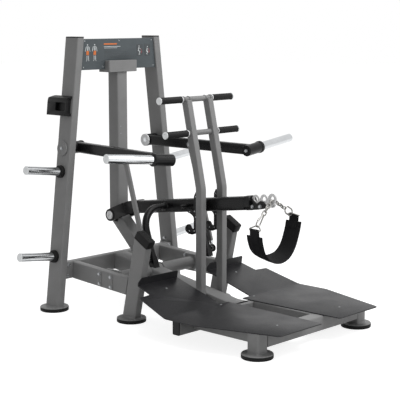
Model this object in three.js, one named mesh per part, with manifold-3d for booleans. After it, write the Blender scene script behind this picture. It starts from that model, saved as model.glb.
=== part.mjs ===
// Belt squat machine, in millimetres, with +Z up and the user's side towards -Y.
// Inside the machine group, Y = 0 runs through the rear feet and X = 0 is the middle plane.
// The exported group moves it so that its origin is under the middle of the whole machine.
import * as THREE from 'three';
import { mergeVertices } from 'three/addons/utils/BufferGeometryUtils.js';
import Module from 'manifold-3d';

const wasm = await Module();
wasm.setup();

// Shared clearances and tube walls
const gap = 0.3;
const overrun = 6;
const steelWall = 3;
const plateThick = 8;
const roundSides = 24;
const smallSides = 16;

// Feet: a steel disc on a rubber pad
const footRadius = 82.5;
const padHeight = 16;
const discHeight = 9;
const footTop = padHeight + discHeight;
const padEdge = 3;
const midFootY = -518;
const frontFootX = 421;
const frontFootY = -1504.5;

// Leaning uprights
const uprightHeight = 1580;
const uprightFootX = 490;
const uprightTopX = 304.5;
const uprightWide = 50;
const uprightDeep = 100;
const capHeight = 6;
const capPlug = 14;
const leanSlope = (uprightFootX - uprightTopX) / (uprightHeight - footTop);
const leanAngle = Math.atan(leanSlope);
const uprightX = (z) => uprightFootX - leanSlope * (z - footTop);
const uprightInnerX = (z) => uprightX(z) - uprightWide / 2;
const uprightOuterX = (z) => uprightX(z) + uprightWide / 2;

// Head beam, its T shaped bracket and the sign
const headBeamTall = 88;
const headBeamDrop = 50;
const headBeamHigh = uprightHeight - headBeamDrop;
const headBeamLow = headBeamHigh - headBeamTall;
const headBeamDeep = 50;
const bracketWide = 226;
const bracketTall = 65;
const bracketLow = headBeamLow - bracketTall;
const bracketFront = -87;
const bracketBack = 8;
const signThick = 5;
const signTall = 179;
const signDrop = 7;
const signHigh = uprightHeight - signDrop;
const signLow = signHigh - signTall;
const signSide = 1;

// Centre post with the diagonal strut that carries its foot
const postWide = 80;
const postFront = -77;
const postBack = postFront + postWide;
const postFootZ = 477;
const strutStartY = -38;
const strutAngle = THREE.MathUtils.degToRad(44);

// Base beams
const rearBeamHigh = 281;
const rearBeamTall = 100;
const rearBeamFront = -46;
const rearBeamDeep = 50;
const endPlateDeep = 90;
const sideBeamInner = 334;
const sideBeamWide = 50;
const sideBeamFall = 0.0605;
const sideBeamTall = 100;
const midLegX = sideBeamInner + sideBeamWide / 2;
const midLegDeep = 100;
const midLegAngle = THREE.MathUtils.degToRad(12.65);
const midLegTopY = -616;
const midLegTopZ = midLegTopOnAxis(midLegTopY);
const spineWide = 100;
const spineFall = 0.1625;
const spineRearTall = 100;
const pipeRadius = 36;
const pipeY = -336;
const pipeZ = 211;
const pipeFlange = 104;

// Stop blocks on the mid legs
const blockAngle = THREE.MathUtils.degToRad(30);
const blockThick = 50;
const blockLong = 110;

// Platform
const deckUnder = 132;
const deckThick = 5;
const deckFrontY = -1650;
const deckBendY = -985;
const deckInnerFront = 75;
const deckInnerBend = 57;
const deckOuterFront = 418;
const deckOuterWide = 563;
const deckWideY = -1190;
const deckRise = 100;
const deckLipY = -645;
const deckLipTall = 46;
const deckLipInner = 125;
const deckLipOuter = 431;
const deckNotchY = -728;
const deckWingX = 514;
const lipChamfer = 24;
const platformLow = 52;
const crossbeamFront = -1069;
const crossbeamDeep = 50;
const crossbeamHalf = 530;
const crossbeamCap = 9;
const lapZ = 92;
const railWide = 50;
const railOuter = 432;
const railLow = 72;
const frontBeamAhead = 37.5;
const frontBeamFront = frontFootY - frontBeamAhead;
const frontBeamDeep = 50;
const footPostWide = 76;

// Storage horns on the uprights
const hornRadius = 25;
const storageHeights = [811, 318];
const storageLong = 262;
const collarRadius = 36.5;
const collarLong = 20;
const hornEdge = 3;

// Holder on the left upright
const holderZ = 1190;
const holderTall = 118;
const holderFront = -50;
const holderBack = 131;
const holderDeep = 32;
const pocketLong = 86;
const pocketTall = 56;
const pocketDeep = 22;
const pocketFront = -30;
const holderRound = 39;
const holderSteps = 4;

// Belt lever and its fork, pivot and yoke
const leverPivot = { y: -35, z: 517 };
const leverFall = 0.135;
const leverLineY = -198;
const leverLineZ = 577;
const leverWide = 70;
const leverTall = 75;
const leverWall = 4;
const leverRearY = -178;
const leverFrontY = -1066;
const leverZ = (y) => leverLineZ + leverFall * (leverLineY - y);
const noseLong = 42;
const noseExtra = 3;
const cheekFrontY = -1192;
const cheekThick = 12;
const cheekTall = 34;
const cheekDrop = 14;
const forkInner = 45;
const forkThick = 30;
const forkTall = 70;
const forkFrontY = -262;
const hubRadius = 40;
const leverShaftRadius = 20;
const shaftCapRadius = 26;
const shaftCapThick = 5;
const catchBarY = -652;
const catchBarRadius = 9;
const catchBarHalf = 95;

// Hook bar at the front of the lever
const hookThick = 10;
const hookRearY = leverFrontY - noseLong - leverFall * (leverTall / 2 + noseExtra) - gap;
const hookPitch = 56;
const hookLastY = -1246;
const hookEyeZ = 733;
const hookEyeRise = 0.06;
const hookEyeRadius = 13;
const hookHumpRadius = 24;
const hookCount = 3;
const hookDrop = 46;

// Yoke hoop and link rods
const yokeRadius = 21;
const yokeTopY = -466;
const yokeHalf = 223;
const yokeBend = 120;
const yokeFootY = -570;
const yokeFootZ = 298;
const yokeSteps = 36;
const yokeSides = 14;
const rodLower = { y: -556, z: 336 };
const rodUpper = { y: -373, z: 942 };
const rodX = 272;
const rodThick = 16;
const rodWide = 30;
const rodEye = 22;
const rodPinRadius = 8;
const rodOpenClearance = 4;
const yokeBossRadius = 27;
const yokeBossInner = 199;
const pinHeadRadius = 15;
const pinHeadThick = 8;

// Weight arms
const armPivot = { y: 0, z: 945 };
const armPivotX = 289;
const armFrontX = 356;
const armFrontY = -788;
const armFrontZ = 936;
const armWide = 50;
const armTall = 62;
const armHubRadius = 38;
const armHubInner = 262;
const armShaftRadius = 16;
const armCapThick = 7;
const armDiscRadius = 43;
const armShoulderRadius = 27;
const armShoulderLong = 7.4;
const armShoulderX = uprightInnerX(armPivot.z + armShoulderRadius) - gap;
const armHubOuter = armShoulderX - armShoulderLong - gap;
const armCavityFrontY = -744;
const sleeveRadius = 33;
const sleeveInner = { x: 305, y: -791, z: 933 };
const sleeveLong = 140;
const hornEnd = { x: 751, y: -750, z: 975 };

// Handle frame with catch hooks
const handlePivot = { y: -790, z: 118 };
const handlePivotRadius = 12;
const handleX = 86;
const handleWide = 36;
const handleWall = 2.5;
const handleBendZ = 754;
const handleTopZ = 1257;
const handleLowZ = 92;
const handleSlope = 0.222;
const barRadius = 15.5;
const barHalf = 289;
const barHeights = [1245, 1060];
const gripRadius = 19;
const gripInner = 124;
const gripCapRadius = 20.5;
const gripCapThick = 6;
const hookPlateThick = 10;
const hookPlateX = 83;
const hookPlateDeep = 27;
const hookLobeBack = 92;
const hookNotchBack = 52;
const hookTops = [629, 523];
const hookNotchDrop = 18;
const hookLobeDrop = 46;
const hookRoundLong = 13;
const hookRoundDrop = 6;
const hookLobeRound = 20;
const hookNotchRound = 6;
const hookPlateTop = 725;
const hookPointDrop = 30;

// Belt and chains
const beltHalf = 150;
const beltLeftZ = 590;
const beltRightZ = 630;
const beltLowZ = 404;
const beltThick = 12;
const beltWide = 108;
const beltEndWide = 60;
const beltEndLong = 36;
const beltSteps = 22;
const beltCurveShare = 0.72;
const chainSide = 16;
const chainTopX = 12;
const ringRadius = 6;
const ringZ = hookEyeZ - hookEyeRadius * Math.cos(Math.PI / smallSides) + ringRadius + gap;

// Paints and surfaces
function paint(color, roughness, metalness) {
  return new THREE.MeshStandardMaterial({ color, roughness, metalness });
}

const greyPaint = paint(0x7c7c7c, 0.55, 0.2);
const blackPaint = paint(0x202020, 0.5, 0.2);
const deckPaint = paint(0x46464a, 0.6, 0.2);
const rubber = paint(0x181818, 0.9, 0);
const plastic = paint(0x1e1e1e, 0.6, 0);
const chrome = paint(0xd4d6d8, 0.2, 1);
const signFace = paint(0x5d6367, 0.6, 0);
const lightSteel = paint(0xb8b8b8, 0.4, 0.7);
const fabric = paint(0x1c1c1e, 0.9, 0);

const machine = new THREE.Group();

// Solids and geometry

function toSolid(geometry) {
  const bare = geometry.clone();
  bare.deleteAttribute('normal');
  bare.deleteAttribute('uv');
  const merged = mergeVertices(bare);
  return new wasm.Manifold(new wasm.Mesh({
    numProp: 3,
    vertProperties: Float32Array.from(merged.attributes.position.array),
    triVerts: Uint32Array.from(merged.index.array),
  }));
}

function toGeometry(solid) {
  const mesh = solid.getMesh();
  const geometry = new THREE.BufferGeometry();
  geometry.setAttribute('position', new THREE.BufferAttribute(mesh.vertProperties, 3));
  geometry.setIndex(new THREE.BufferAttribute(mesh.triVerts, 1));
  geometry.computeVertexNormals();
  return geometry;
}

function joined(...geometries) {
  return geometries.map(toSolid).reduce((whole, next) => whole.add(next));
}

function cut(solid, ...geometries) {
  return geometries.map(toSolid).reduce((whole, next) => whole.subtract(next), solid);
}

function prism(points, depth, basis, start) {
  const shape = new THREE.Shape(points.map(([u, v]) => new THREE.Vector2(u, v)));
  const geometry = new THREE.ExtrudeGeometry(shape, { depth, bevelEnabled: false });
  geometry.translate(0, 0, start);
  return geometry.applyMatrix4(basis);
}

const unit = {
  x: new THREE.Vector3(1, 0, 0),
  y: new THREE.Vector3(0, 1, 0),
  z: new THREE.Vector3(0, 0, 1),
};
const basisX = new THREE.Matrix4().makeBasis(unit.y, unit.z, unit.x);
const basisY = new THREE.Matrix4().makeBasis(unit.z, unit.x, unit.y);
const basisZ = new THREE.Matrix4();

// Points are [y, z], and the prism runs along X between two places.
function alongX(points, from, to) {
  return prism(points, Math.abs(to - from), basisX, Math.min(from, to));
}

// Points are [x, z], and the prism runs along Y.
function alongY(points, from, to) {
  return prism(points.map(([x, z]) => [z, x]), Math.abs(to - from), basisY, Math.min(from, to));
}

// Points are [x, y], and the prism runs along Z.
function alongZ(points, from, to) {
  return prism(points, Math.abs(to - from), basisZ, Math.min(from, to));
}

function block(x, y, z) {
  const geometry = new THREE.BoxGeometry(x[1] - x[0], y[1] - y[0], z[1] - z[0]);
  return geometry.translate((x[0] + x[1]) / 2, (y[0] + y[1]) / 2, (z[0] + z[1]) / 2);
}

function rod(from, to, radius, sides = roundSides) {
  const start = new THREE.Vector3(...from);
  const way = new THREE.Vector3(...to).sub(start);
  const geometry = new THREE.CylinderGeometry(radius, radius, way.length(), sides);
  geometry.rotateX(Math.PI / 2);
  geometry.applyQuaternion(new THREE.Quaternion().setFromUnitVectors(unit.z, way.clone().normalize()));
  const middle = way.multiplyScalar(1 / 2).add(start);
  return geometry.translate(middle.x, middle.y, middle.z);
}

function rodAlongX(from, to, y, z, radius, sides = roundSides) {
  return rod([Math.min(from, to), y, z], [Math.max(from, to), y, z], radius, sides);
}

// A rectangular bar between two points: wide across, tall upwards.
function bar(from, to, wide, tall) {
  const start = new THREE.Vector3(...from);
  const way = new THREE.Vector3(...to).sub(start);
  const long = way.length();
  const ahead = way.clone().normalize();
  const across = unit.z.clone().cross(ahead).normalize();
  const up = ahead.clone().cross(across);
  const geometry = new THREE.BoxGeometry(long, wide, tall);
  geometry.applyMatrix4(new THREE.Matrix4().makeBasis(ahead, across, up));
  const middle = way.multiplyScalar(1 / 2).add(start);
  return geometry.translate(middle.x, middle.y, middle.z);
}

// Moves each edge of an outline inwards by its own distance. A negative distance moves it outwards.
function inset(points, distances) {
  const count = points.length;
  const area = points.reduce((sum, [u, v], i) => {
    const [nextU, nextV] = points[(i + 1) % count];
    return sum + u * nextV - nextU * v;
  }, 0);
  const turn = Math.sign(area);
  const lines = points.map(([u, v], i) => {
    const [nextU, nextV] = points[(i + 1) % count];
    const long = Math.hypot(nextU - u, nextV - v);
    const way = [(nextU - u) / long, (nextV - v) / long];
    const move = distances[i] * turn;
    return { at: [u - way[1] * move, v + way[0] * move], way };
  });
  return lines.map((line, i) => {
    const last = lines[(i + count - 1) % count];
    const cross = last.way[0] * line.way[1] - last.way[1] * line.way[0];
    const across = [line.at[0] - last.at[0], line.at[1] - last.at[1]];
    const along = (across[0] * line.way[1] - across[1] * line.way[0]) / cross;
    return [last.at[0] + last.way[0] * along, last.at[1] + last.way[1] * along];
  });
}

// A tube that is a prism: walls on its outline, and open ends where its prism ends.
function tubeAlong(along, points, from, to, wall) {
  const low = Math.min(from, to);
  const high = Math.max(from, to);
  const inner = inset(points, points.map(() => wall));
  return cut(toSolid(along(points, low, high)), along(inner, low - overrun, high + overrun));
}

// A tube seen from its side: walls on both faces of the prism, and open where an edge is named open.
function tubeSide(along, points, from, to, wall, openEdges) {
  const low = Math.min(from, to);
  const high = Math.max(from, to);
  const inner = inset(points, points.map((point, i) => (openEdges.includes(i) ? -overrun : wall)));
  return cut(toSolid(along(points, low, high)), along(inner, low + wall, high - wall));
}

function addMesh(group, name, shape, material) {
  const geometry = shape.isBufferGeometry ? shape : toGeometry(shape);
  const mesh = new THREE.Mesh(geometry, material);
  mesh.name = name;
  group.add(mesh);
  return mesh;
}

// A group that turns about a pivot. What is drawn in the machine's places is moved back by the pivot.
function pivotGroup(y, z) {
  const group = new THREE.Group();
  group.position.set(0, y, z);
  machine.add(group);
  return group;
}

function addCarried(group, name, shape, material) {
  const mesh = addMesh(group, name, shape, material);
  mesh.position.copy(group.position).negate();
  return mesh;
}

function midLegTopOnAxis(y) {
  return footTop + (midFootY - y) / Math.tan(midLegAngle);
}

const sides = [{ sign: -1, side: 'left' }, { sign: 1, side: 'right' }];

// Outline of a leaning upright or of what follows its lean, as [x, z] points
function leaningOutline(sign, low, high, halfWide) {
  return [
    [sign * (uprightX(low) - halfWide), low],
    [sign * (uprightX(low) + halfWide), low],
    [sign * (uprightX(high) + halfWide), high],
    [sign * (uprightX(high) - halfWide), high],
  ];
}

function footDisc(x, y) {
  return rod([x, y, padHeight + gap], [x, y, footTop], footRadius, roundSides);
}

function addUprights() {
  for (const { sign, side } of sides) {
    const outline = leaningOutline(sign, footTop - steelWall, uprightHeight, uprightWide / 2);
    const tube = tubeSide(alongY, outline, -uprightDeep / 2, uprightDeep / 2, steelWall, [2]);
    const disc = toSolid(footDisc(sign * uprightFootX, 0));
    const shaftHole = rodAlongX(0, sign * uprightFootX, armPivot.y, armPivot.z, armShaftRadius + gap);
    addMesh(machine, `upright_${side}`, cut(tube.add(disc), shaftHole), greyPaint);

    const capLow = uprightHeight + gap;
    const lid = leaningOutline(sign, capLow, capLow + capHeight, uprightWide / 2);
    const plug = leaningOutline(sign, capLow - capPlug, capLow + capHeight, uprightWide / 2 - steelWall - gap);
    const plugDeep = uprightDeep / 2 - steelWall - gap;
    const cap = joined(alongY(lid, -uprightDeep / 2, uprightDeep / 2), alongY(plug, -plugDeep, plugDeep));
    addMesh(machine, `upright_cap_${side}`, cap, plastic);
  }
}

function addHead() {
  const beamFront = -uprightDeep / 2 + signThick + gap;
  const lowX = uprightInnerX(headBeamLow) - gap;
  const highX = uprightInnerX(headBeamHigh) - gap;
  const outline = [[-lowX, headBeamLow], [lowX, headBeamLow], [highX, headBeamHigh], [-highX, headBeamHigh]];
  const beam = tubeSide(alongY, outline, beamFront, beamFront + headBeamDeep, steelWall, [1, 3]);
  const bracketTop = headBeamLow + steelWall;
  const bracketX = [-bracketWide / 2, bracketWide / 2];
  const bracketY = [bracketFront, bracketBack];
  const shell = toSolid(block(bracketX, bracketY, [bracketLow, bracketTop]));
  const hollow = block(
    [-bracketWide / 2 + steelWall, bracketWide / 2 - steelWall],
    [bracketFront + steelWall, bracketBack - steelWall],
    [bracketLow - overrun, bracketTop - steelWall],
  );
  addMesh(machine, 'head_beam', beam.add(cut(shell, hollow)), greyPaint);

  const edgeX = (z) => uprightInnerX(z) - gap - signSide;
  const panel = alongY([
    [-edgeX(signLow), signLow],
    [edgeX(signLow), signLow],
    [edgeX(signHigh), signHigh],
    [-edgeX(signHigh), signHigh],
  ], -uprightDeep / 2, -uprightDeep / 2 + signThick);
  const notch = block(
    [-bracketWide / 2 - gap, bracketWide / 2 + gap],
    [-uprightDeep, 0],
    [signLow - overrun, bracketTop + gap],
  );
  addMesh(machine, 'sign_panel', cut(toSolid(panel), notch), signFace);
}

const spineTopZ = (y) => rearBeamHigh + spineFall * (y - rearBeamFront);

function addCentreColumn() {
  const way = [-Math.cos(strutAngle), -Math.sin(strutAngle)];
  const slope = Math.tan(strutAngle);
  const frontShift = [postWide * way[1], -postWide * way[0]];
  const landing = (y, z) => {
    const spineZ = rearBeamHigh - spineFall * rearBeamFront + gap;
    const landY = (spineZ - z + slope * y) / (slope - spineFall);
    return [landY, z + slope * (landY - y)];
  };
  const frontStart = [strutStartY + frontShift[0], postFootZ + frontShift[1]];
  const outline = [
    [postBack, bracketLow - gap],
    [postBack, postFootZ],
    [strutStartY, postFootZ],
    landing(strutStartY, postFootZ),
    landing(frontStart[0], frontStart[1]),
    [postFront, frontStart[1] + slope * (postFront - frontStart[0])],
    [postFront, bracketLow - gap],
  ];
  const landingEdge = 3;
  const topEdge = outline.length - 1;
  const column = tubeSide(alongX, outline, -postWide / 2, postWide / 2, steelWall, [landingEdge, topEdge]);
  const bore = rodAlongX(-postWide, postWide, leverPivot.y, leverPivot.z, leverShaftRadius + gap);
  addMesh(machine, 'centre_column', cut(column, bore), greyPaint);
}

const midLegY = (z) => midFootY - (z - footTop) * Math.tan(midLegAngle);
const midLegHalf = midLegDeep / 2 / Math.cos(midLegAngle);

// Where the sloped top of a mid leg meets its rear or front face
function midLegTop(faceSign) {
  const slope = Math.tan(blockAngle);
  const run = Math.tan(midLegAngle);
  const y = (midLegTopY + run * slope * midLegTopY + faceSign * midLegHalf) / (1 + run * slope);
  return [y, midLegTopZ + slope * (y - midLegTopY)];
}

function addBase() {
  const beamLow = rearBeamHigh - rearBeamTall;
  const beamBack = rearBeamFront + rearBeamDeep;
  const rearOutline = [
    [-uprightInnerX(beamLow) + gap, beamLow],
    [uprightInnerX(beamLow) - gap, beamLow],
    [uprightInnerX(rearBeamHigh) - gap, rearBeamHigh],
    [-uprightInnerX(rearBeamHigh) + gap, rearBeamHigh],
  ];
  let rearBeam = tubeSide(alongY, rearOutline, rearBeamFront, beamBack, steelWall, [1, 3]);
  for (const { sign } of sides) {
    const faceX = (z) => sign * (uprightInnerX(z) - gap);
    const flange = alongY([
      [faceX(beamLow), beamLow],
      [faceX(rearBeamHigh), rearBeamHigh],
      [faceX(rearBeamHigh) - sign * plateThick, rearBeamHigh],
      [faceX(beamLow) - sign * plateThick, beamLow],
    ], rearBeamFront, rearBeamFront + endPlateDeep);
    rearBeam = rearBeam.add(toSolid(flange));
  }
  const vent = block(
    [-uprightFootX, uprightFootX],
    [rearBeamFront + rearBeamDeep / 2 - steelWall, rearBeamFront + rearBeamDeep / 2 + steelWall],
    [beamLow + rearBeamTall / 2 - steelWall, beamLow + rearBeamTall / 2 + steelWall],
  );
  addMesh(machine, 'rear_beam', cut(rearBeam, vent), greyPaint);

  for (const { sign, side } of sides) {
    const inner = sign * sideBeamInner;
    const outer = sign * (sideBeamInner + sideBeamWide);
    const legRear = (z) => midLegY(z) + midLegHalf;
    const topZ = (y) => rearBeamHigh + sideBeamFall * y;
    const rearY = rearBeamFront - gap;
    const frontTop = topZ(legRear(topZ(midFootY)));
    const frontLow = frontTop - sideBeamTall;
    const beam = [
      [rearY, topZ(rearY)],
      [rearY, topZ(rearY) - sideBeamTall],
      [legRear(frontLow) + gap, frontLow],
      [legRear(frontTop) + gap, frontTop],
    ];
    addMesh(machine, `side_beam_${side}`, tubeSide(alongX, beam, inner, outer, steelWall, [0, 2]), greyPaint);

    const leg = [
      [midLegY(footTop) + midLegHalf, footTop - steelWall],
      midLegTop(1),
      midLegTop(-1),
      [midLegY(footTop) - midLegHalf, footTop - steelWall],
    ];
    const legTube = tubeSide(alongX, leg, inner, outer, steelWall, [1]);
    addMesh(machine, `mid_leg_${side}`, legTube.add(toSolid(footDisc(sign * midLegX, midFootY))), greyPaint);

    const up = [-Math.sin(blockAngle), Math.cos(blockAngle)];
    const [rearTopY, rearTopZ] = midLegTop(1);
    const low = [rearTopY + up[0] * gap, rearTopZ + up[1] * gap];
    const ahead = [-Math.cos(blockAngle), -Math.sin(blockAngle)];
    const stop = [
      low,
      [low[0] + ahead[0] * blockLong, low[1] + ahead[1] * blockLong],
      [low[0] + ahead[0] * blockLong + up[0] * blockThick, low[1] + ahead[1] * blockLong + up[1] * blockThick],
      [low[0] + up[0] * blockThick, low[1] + up[1] * blockThick],
    ];
    addMesh(machine, `stop_block_${side}`, alongX(stop, inner, outer), rubber);

    const pipe = joined(
      rodAlongX(sign * (spineWide / 2 + gap), sign * (sideBeamInner - gap), pipeY, pipeZ, pipeRadius),
      pipeFlangeBlock(sign * (spineWide / 2 + gap), sign),
      pipeFlangeBlock(sign * (sideBeamInner - gap), -sign),
    );
    const pipeBore = rodAlongX(0, sign * midLegX, pipeY, pipeZ, pipeRadius - steelWall);
    addMesh(machine, `cross_pipe_${side}`, cut(pipe, pipeBore), greyPaint);
  }
}

function pipeFlangeBlock(faceX, way) {
  const farX = faceX + way * plateThick;
  const half = pipeFlange / 2;
  const x = [Math.min(faceX, farX), Math.max(faceX, farX)];
  return block(x, [pipeY - half, pipeY + half], [pipeZ - half, pipeZ + half]);
}

function addSpine() {
  const rearY = rearBeamFront - gap;
  const bendY = rearBeamFront - (rearBeamHigh - deckUnder) / spineFall;
  const frontY = frontBeamFront + frontBeamDeep + gap;
  const lapFront = crossbeamFront - gap;
  const lapBack = crossbeamFront + crossbeamDeep + gap;
  const outline = [
    [rearY, spineTopZ(rearY)],
    [rearY, spineTopZ(rearY) - spineRearTall],
    [bendY, platformLow],
    [frontY, platformLow],
    [frontY, deckUnder],
    [bendY, deckUnder],
  ];
  const tube = tubeSide(alongX, outline, -spineWide / 2, spineWide / 2, steelWall, [0, 3]);
  const lap = block([-spineWide, spineWide], [lapFront, lapBack], [platformLow - overrun, lapZ + gap]);
  const pinHole = rodAlongX(-spineWide, spineWide, handlePivot.y, handlePivot.z, handlePivotRadius + gap);
  addMesh(machine, 'spine_beam', cut(tube, lap, pinHole), greyPaint);
}

function addPlatform() {
  const crossBack = crossbeamFront + crossbeamDeep;
  const crossOutline = [
    [crossbeamFront, platformLow],
    [crossBack, platformLow],
    [crossBack, deckUnder],
    [crossbeamFront, deckUnder],
  ];
  const crossTube = tubeAlong(alongX, crossOutline, -crossbeamHalf, crossbeamHalf, steelWall);
  const lapCut = block(
    [-spineWide / 2 - gap, spineWide / 2 + gap],
    [crossbeamFront - overrun, crossBack + overrun],
    [lapZ, deckUnder + overrun],
  );
  const capEnd = crossbeamHalf + crossbeamCap;
  const caps = sides.map(({ sign }) => alongX(crossOutline, sign * crossbeamHalf, sign * capEnd));
  const crossbeam = cut(crossTube, lapCut).add(joined(...caps));
  addMesh(machine, 'platform_crossbeam', crossbeam, greyPaint);

  const beamBack = frontBeamFront + frontBeamDeep;
  const beamHalf = frontFootX - footPostWide / 2 - gap;
  const frontOutline = [
    [frontBeamFront, platformLow],
    [beamBack, platformLow],
    [beamBack, deckUnder],
    [frontBeamFront, deckUnder],
  ];
  addMesh(machine, 'front_beam', tubeAlong(alongX, frontOutline, -beamHalf, beamHalf, steelWall), greyPaint);

  for (const { sign, side } of sides) {
    const postHalf = footPostWide / 2;
    const railX = [sign * railOuter, sign * (railOuter - railWide)].sort((a, b) => a - b);
    const rail = [
      [railX[0], railLow],
      [railX[1], railLow],
      [railX[1], deckUnder],
      [railX[0], deckUnder],
    ];
    const tube = tubeAlong(alongY, rail, crossbeamFront - gap, frontFootY + postHalf - steelWall, steelWall);
    const centre = sign * frontFootX;
    const post = block(
      [centre - postHalf, centre + postHalf],
      [frontFootY - postHalf, frontFootY + postHalf],
      [footTop - steelWall, deckUnder],
    );
    const postHollow = block(
      [centre - postHalf + steelWall, centre + postHalf - steelWall],
      [frontFootY - postHalf + steelWall, frontFootY + postHalf - steelWall],
      [footTop + steelWall, deckUnder - steelWall],
    );
    const foot = joined(post, footDisc(centre, frontFootY));
    const railHollow = alongY(inset(rail, rail.map(() => steelWall)), crossbeamFront - overrun, frontFootY);
    addMesh(machine, `platform_rail_${side}`, cut(cut(foot, postHollow).add(tube), railHollow), greyPaint);
  }
}

// One bent sheet, drawn as its side profile and then trimmed to its outline seen from above
function addDecks() {
  const low = deckUnder + gap;
  const runY = deckLipY - deckBendY;
  const slope = Math.atan2(deckRise, runY);
  const bend = deckThick * Math.tan(slope / 2);
  const lipY = deckLipY;
  const lipZ = low + deckRise;
  const profile = [
    [deckFrontY, low],
    [deckBendY, low],
    [lipY, lipZ],
    [lipY - deckLipTall * Math.sin(slope) / 2, lipZ + deckLipTall],
    [lipY - deckLipTall * Math.sin(slope) / 2 - deckThick, lipZ + deckLipTall],
    [lipY - deckThick, lipZ + deckThick * Math.cos(slope)],
    [deckBendY - bend, low + deckThick],
    [deckFrontY, low + deckThick],
  ];
  for (const { sign, side } of sides) {
    const plan = [
      [deckInnerFront, deckFrontY],
      [deckOuterFront, deckFrontY],
      [deckOuterWide, deckWideY],
      [deckOuterWide, deckBendY],
      [deckWingX, deckNotchY],
      [deckLipOuter, deckNotchY],
      [deckLipOuter, deckLipY + overrun],
      [deckLipInner, deckLipY + overrun],
      [deckLipInner, deckBendY],
      [deckInnerBend, deckBendY],
    ].map(([x, y]) => [sign * x, y]);
    const sheet = toSolid(alongX(profile, 0, sign * deckOuterWide));
    const trimmed = sheet.intersect(toSolid(alongZ(plan, low - overrun, lipZ + deckLipTall + overrun)));
    const endX = sign < 0 ? -deckLipOuter : deckLipInner;
    const topZ = lipZ + deckLipTall;
    const chamfer = alongY([
      [endX - overrun, topZ + overrun],
      [endX + lipChamfer, topZ + overrun],
      [endX + lipChamfer, topZ],
      [endX, topZ - lipChamfer],
      [endX - overrun, topZ - lipChamfer],
    ], deckLipY - deckLipTall, deckLipY + deckLipTall);
    addMesh(machine, `deck_plate_${side}`, cut(trimmed, chamfer), deckPaint);
  }
}

function addFeet() {
  const profile = [
    [0, 0],
    [footRadius - padEdge, 0],
    [footRadius, padEdge],
    [footRadius, padHeight],
    [0, padHeight],
  ];
  const pad = new THREE.LatheGeometry(profile.map(([r, h]) => new THREE.Vector2(r, h)), roundSides);
  pad.rotateX(Math.PI / 2);
  const places = {
    rear: [uprightFootX, 0],
    mid: [midLegX, midFootY],
    front: [frontFootX, frontFootY],
  };
  for (const [place, [x, y]] of Object.entries(places)) {
    for (const { sign, side } of sides) {
      addMesh(machine, `foot_pad_${place}_${side}`, pad.clone(), rubber).position.set(sign * x, y, 0);
    }
  }
}

// A round bar along +X with a chamfered end
function hornGeometry(long, radius) {
  const profile = [[0, 0], [radius, 0], [radius, long - hornEdge], [radius - hornEdge, long], [0, long]];
  const geometry = new THREE.LatheGeometry(profile.map(([r, h]) => new THREE.Vector2(r, h)), roundSides);
  return geometry.rotateZ(-Math.PI / 2);
}

function collarGeometry() {
  const inner = hornRadius + gap;
  const profile = [[inner, 0], [collarRadius, 0], [collarRadius, collarLong], [inner, collarLong], [inner, 0]];
  const geometry = new THREE.LatheGeometry(profile.map(([r, h]) => new THREE.Vector2(r, h)), roundSides);
  return geometry.rotateZ(-Math.PI / 2);
}

function addStorage() {
  const levels = ['upper', 'lower'];
  for (const { sign, side } of sides) {
    storageHeights.forEach((height, i) => {
      const seat = new THREE.Group();
      seat.position.set(sign * (uprightOuterX(height) + gap), 0, height);
      seat.rotation.y = sign > 0 ? -leanAngle : Math.PI + leanAngle;
      machine.add(seat);
      addMesh(seat, `storage_horn_${levels[i]}_${side}`, hornGeometry(storageLong, hornRadius), chrome);
      addMesh(seat, `storage_collar_${levels[i]}_${side}`, collarGeometry(), rubber);
    });
  }
}

// The holder hangs on the outer face of the left upright and follows its lean.
function addHolder() {
  const half = holderTall / 2;
  const round = holderRound;
  const corner = Array.from({ length: holderSteps + 1 }, (unused, i) => {
    const angle = (Math.PI / 2) * (i / holderSteps);
    return [holderBack - round + round * Math.cos(angle), half - round + round * Math.sin(angle)];
  });
  const outline = [
    [holderFront, -half],
    [holderBack, -half],
    ...corner,
    [holderFront, half],
  ];
  const body = toSolid(alongX(outline, -holderDeep, 0));
  const pocket = block(
    [-holderDeep - overrun, -holderDeep + pocketDeep],
    [pocketFront, pocketFront + pocketLong],
    [-pocketTall / 2, pocketTall / 2],
  );
  const mesh = addMesh(machine, 'holder', cut(body, pocket), plastic);
  mesh.position.set(-uprightOuterX(holderZ) - gap, 0, holderZ);
  mesh.rotation.y = leanAngle;
}

// Belt lever, its fork and what is fixed to it

function leverPoint(y, x = 0) {
  return [x, y, leverZ(y)];
}

function hookOutline() {
  const humps = [];
  for (let i = hookCount - 1; i >= 0; i -= 1) {
    const y = hookLastY + i * hookPitch;
    const z = hookEyeZ - hookEyeRise * i * hookPitch;
    const steps = 6;
    for (let k = 0; k <= steps; k += 1) {
      const angle = (Math.PI * k) / steps;
      humps.push([y + hookHumpRadius * Math.cos(angle), z + hookHumpRadius * Math.sin(angle)]);
    }
  }
  const lowFront = [hookLastY - hookHumpRadius, hookEyeZ - hookDrop / 2];
  const tip = [hookLastY - hookHumpRadius / 2, hookEyeZ - hookDrop];
  const lowRear = [hookRearY, hookEyeZ - hookDrop - hookEyeRise * hookPitch * hookCount];
  const highRear = [hookRearY, hookEyeZ - hookEyeRise * hookPitch * hookCount];
  return [highRear, ...humps, lowFront, tip, lowRear];
}

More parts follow.
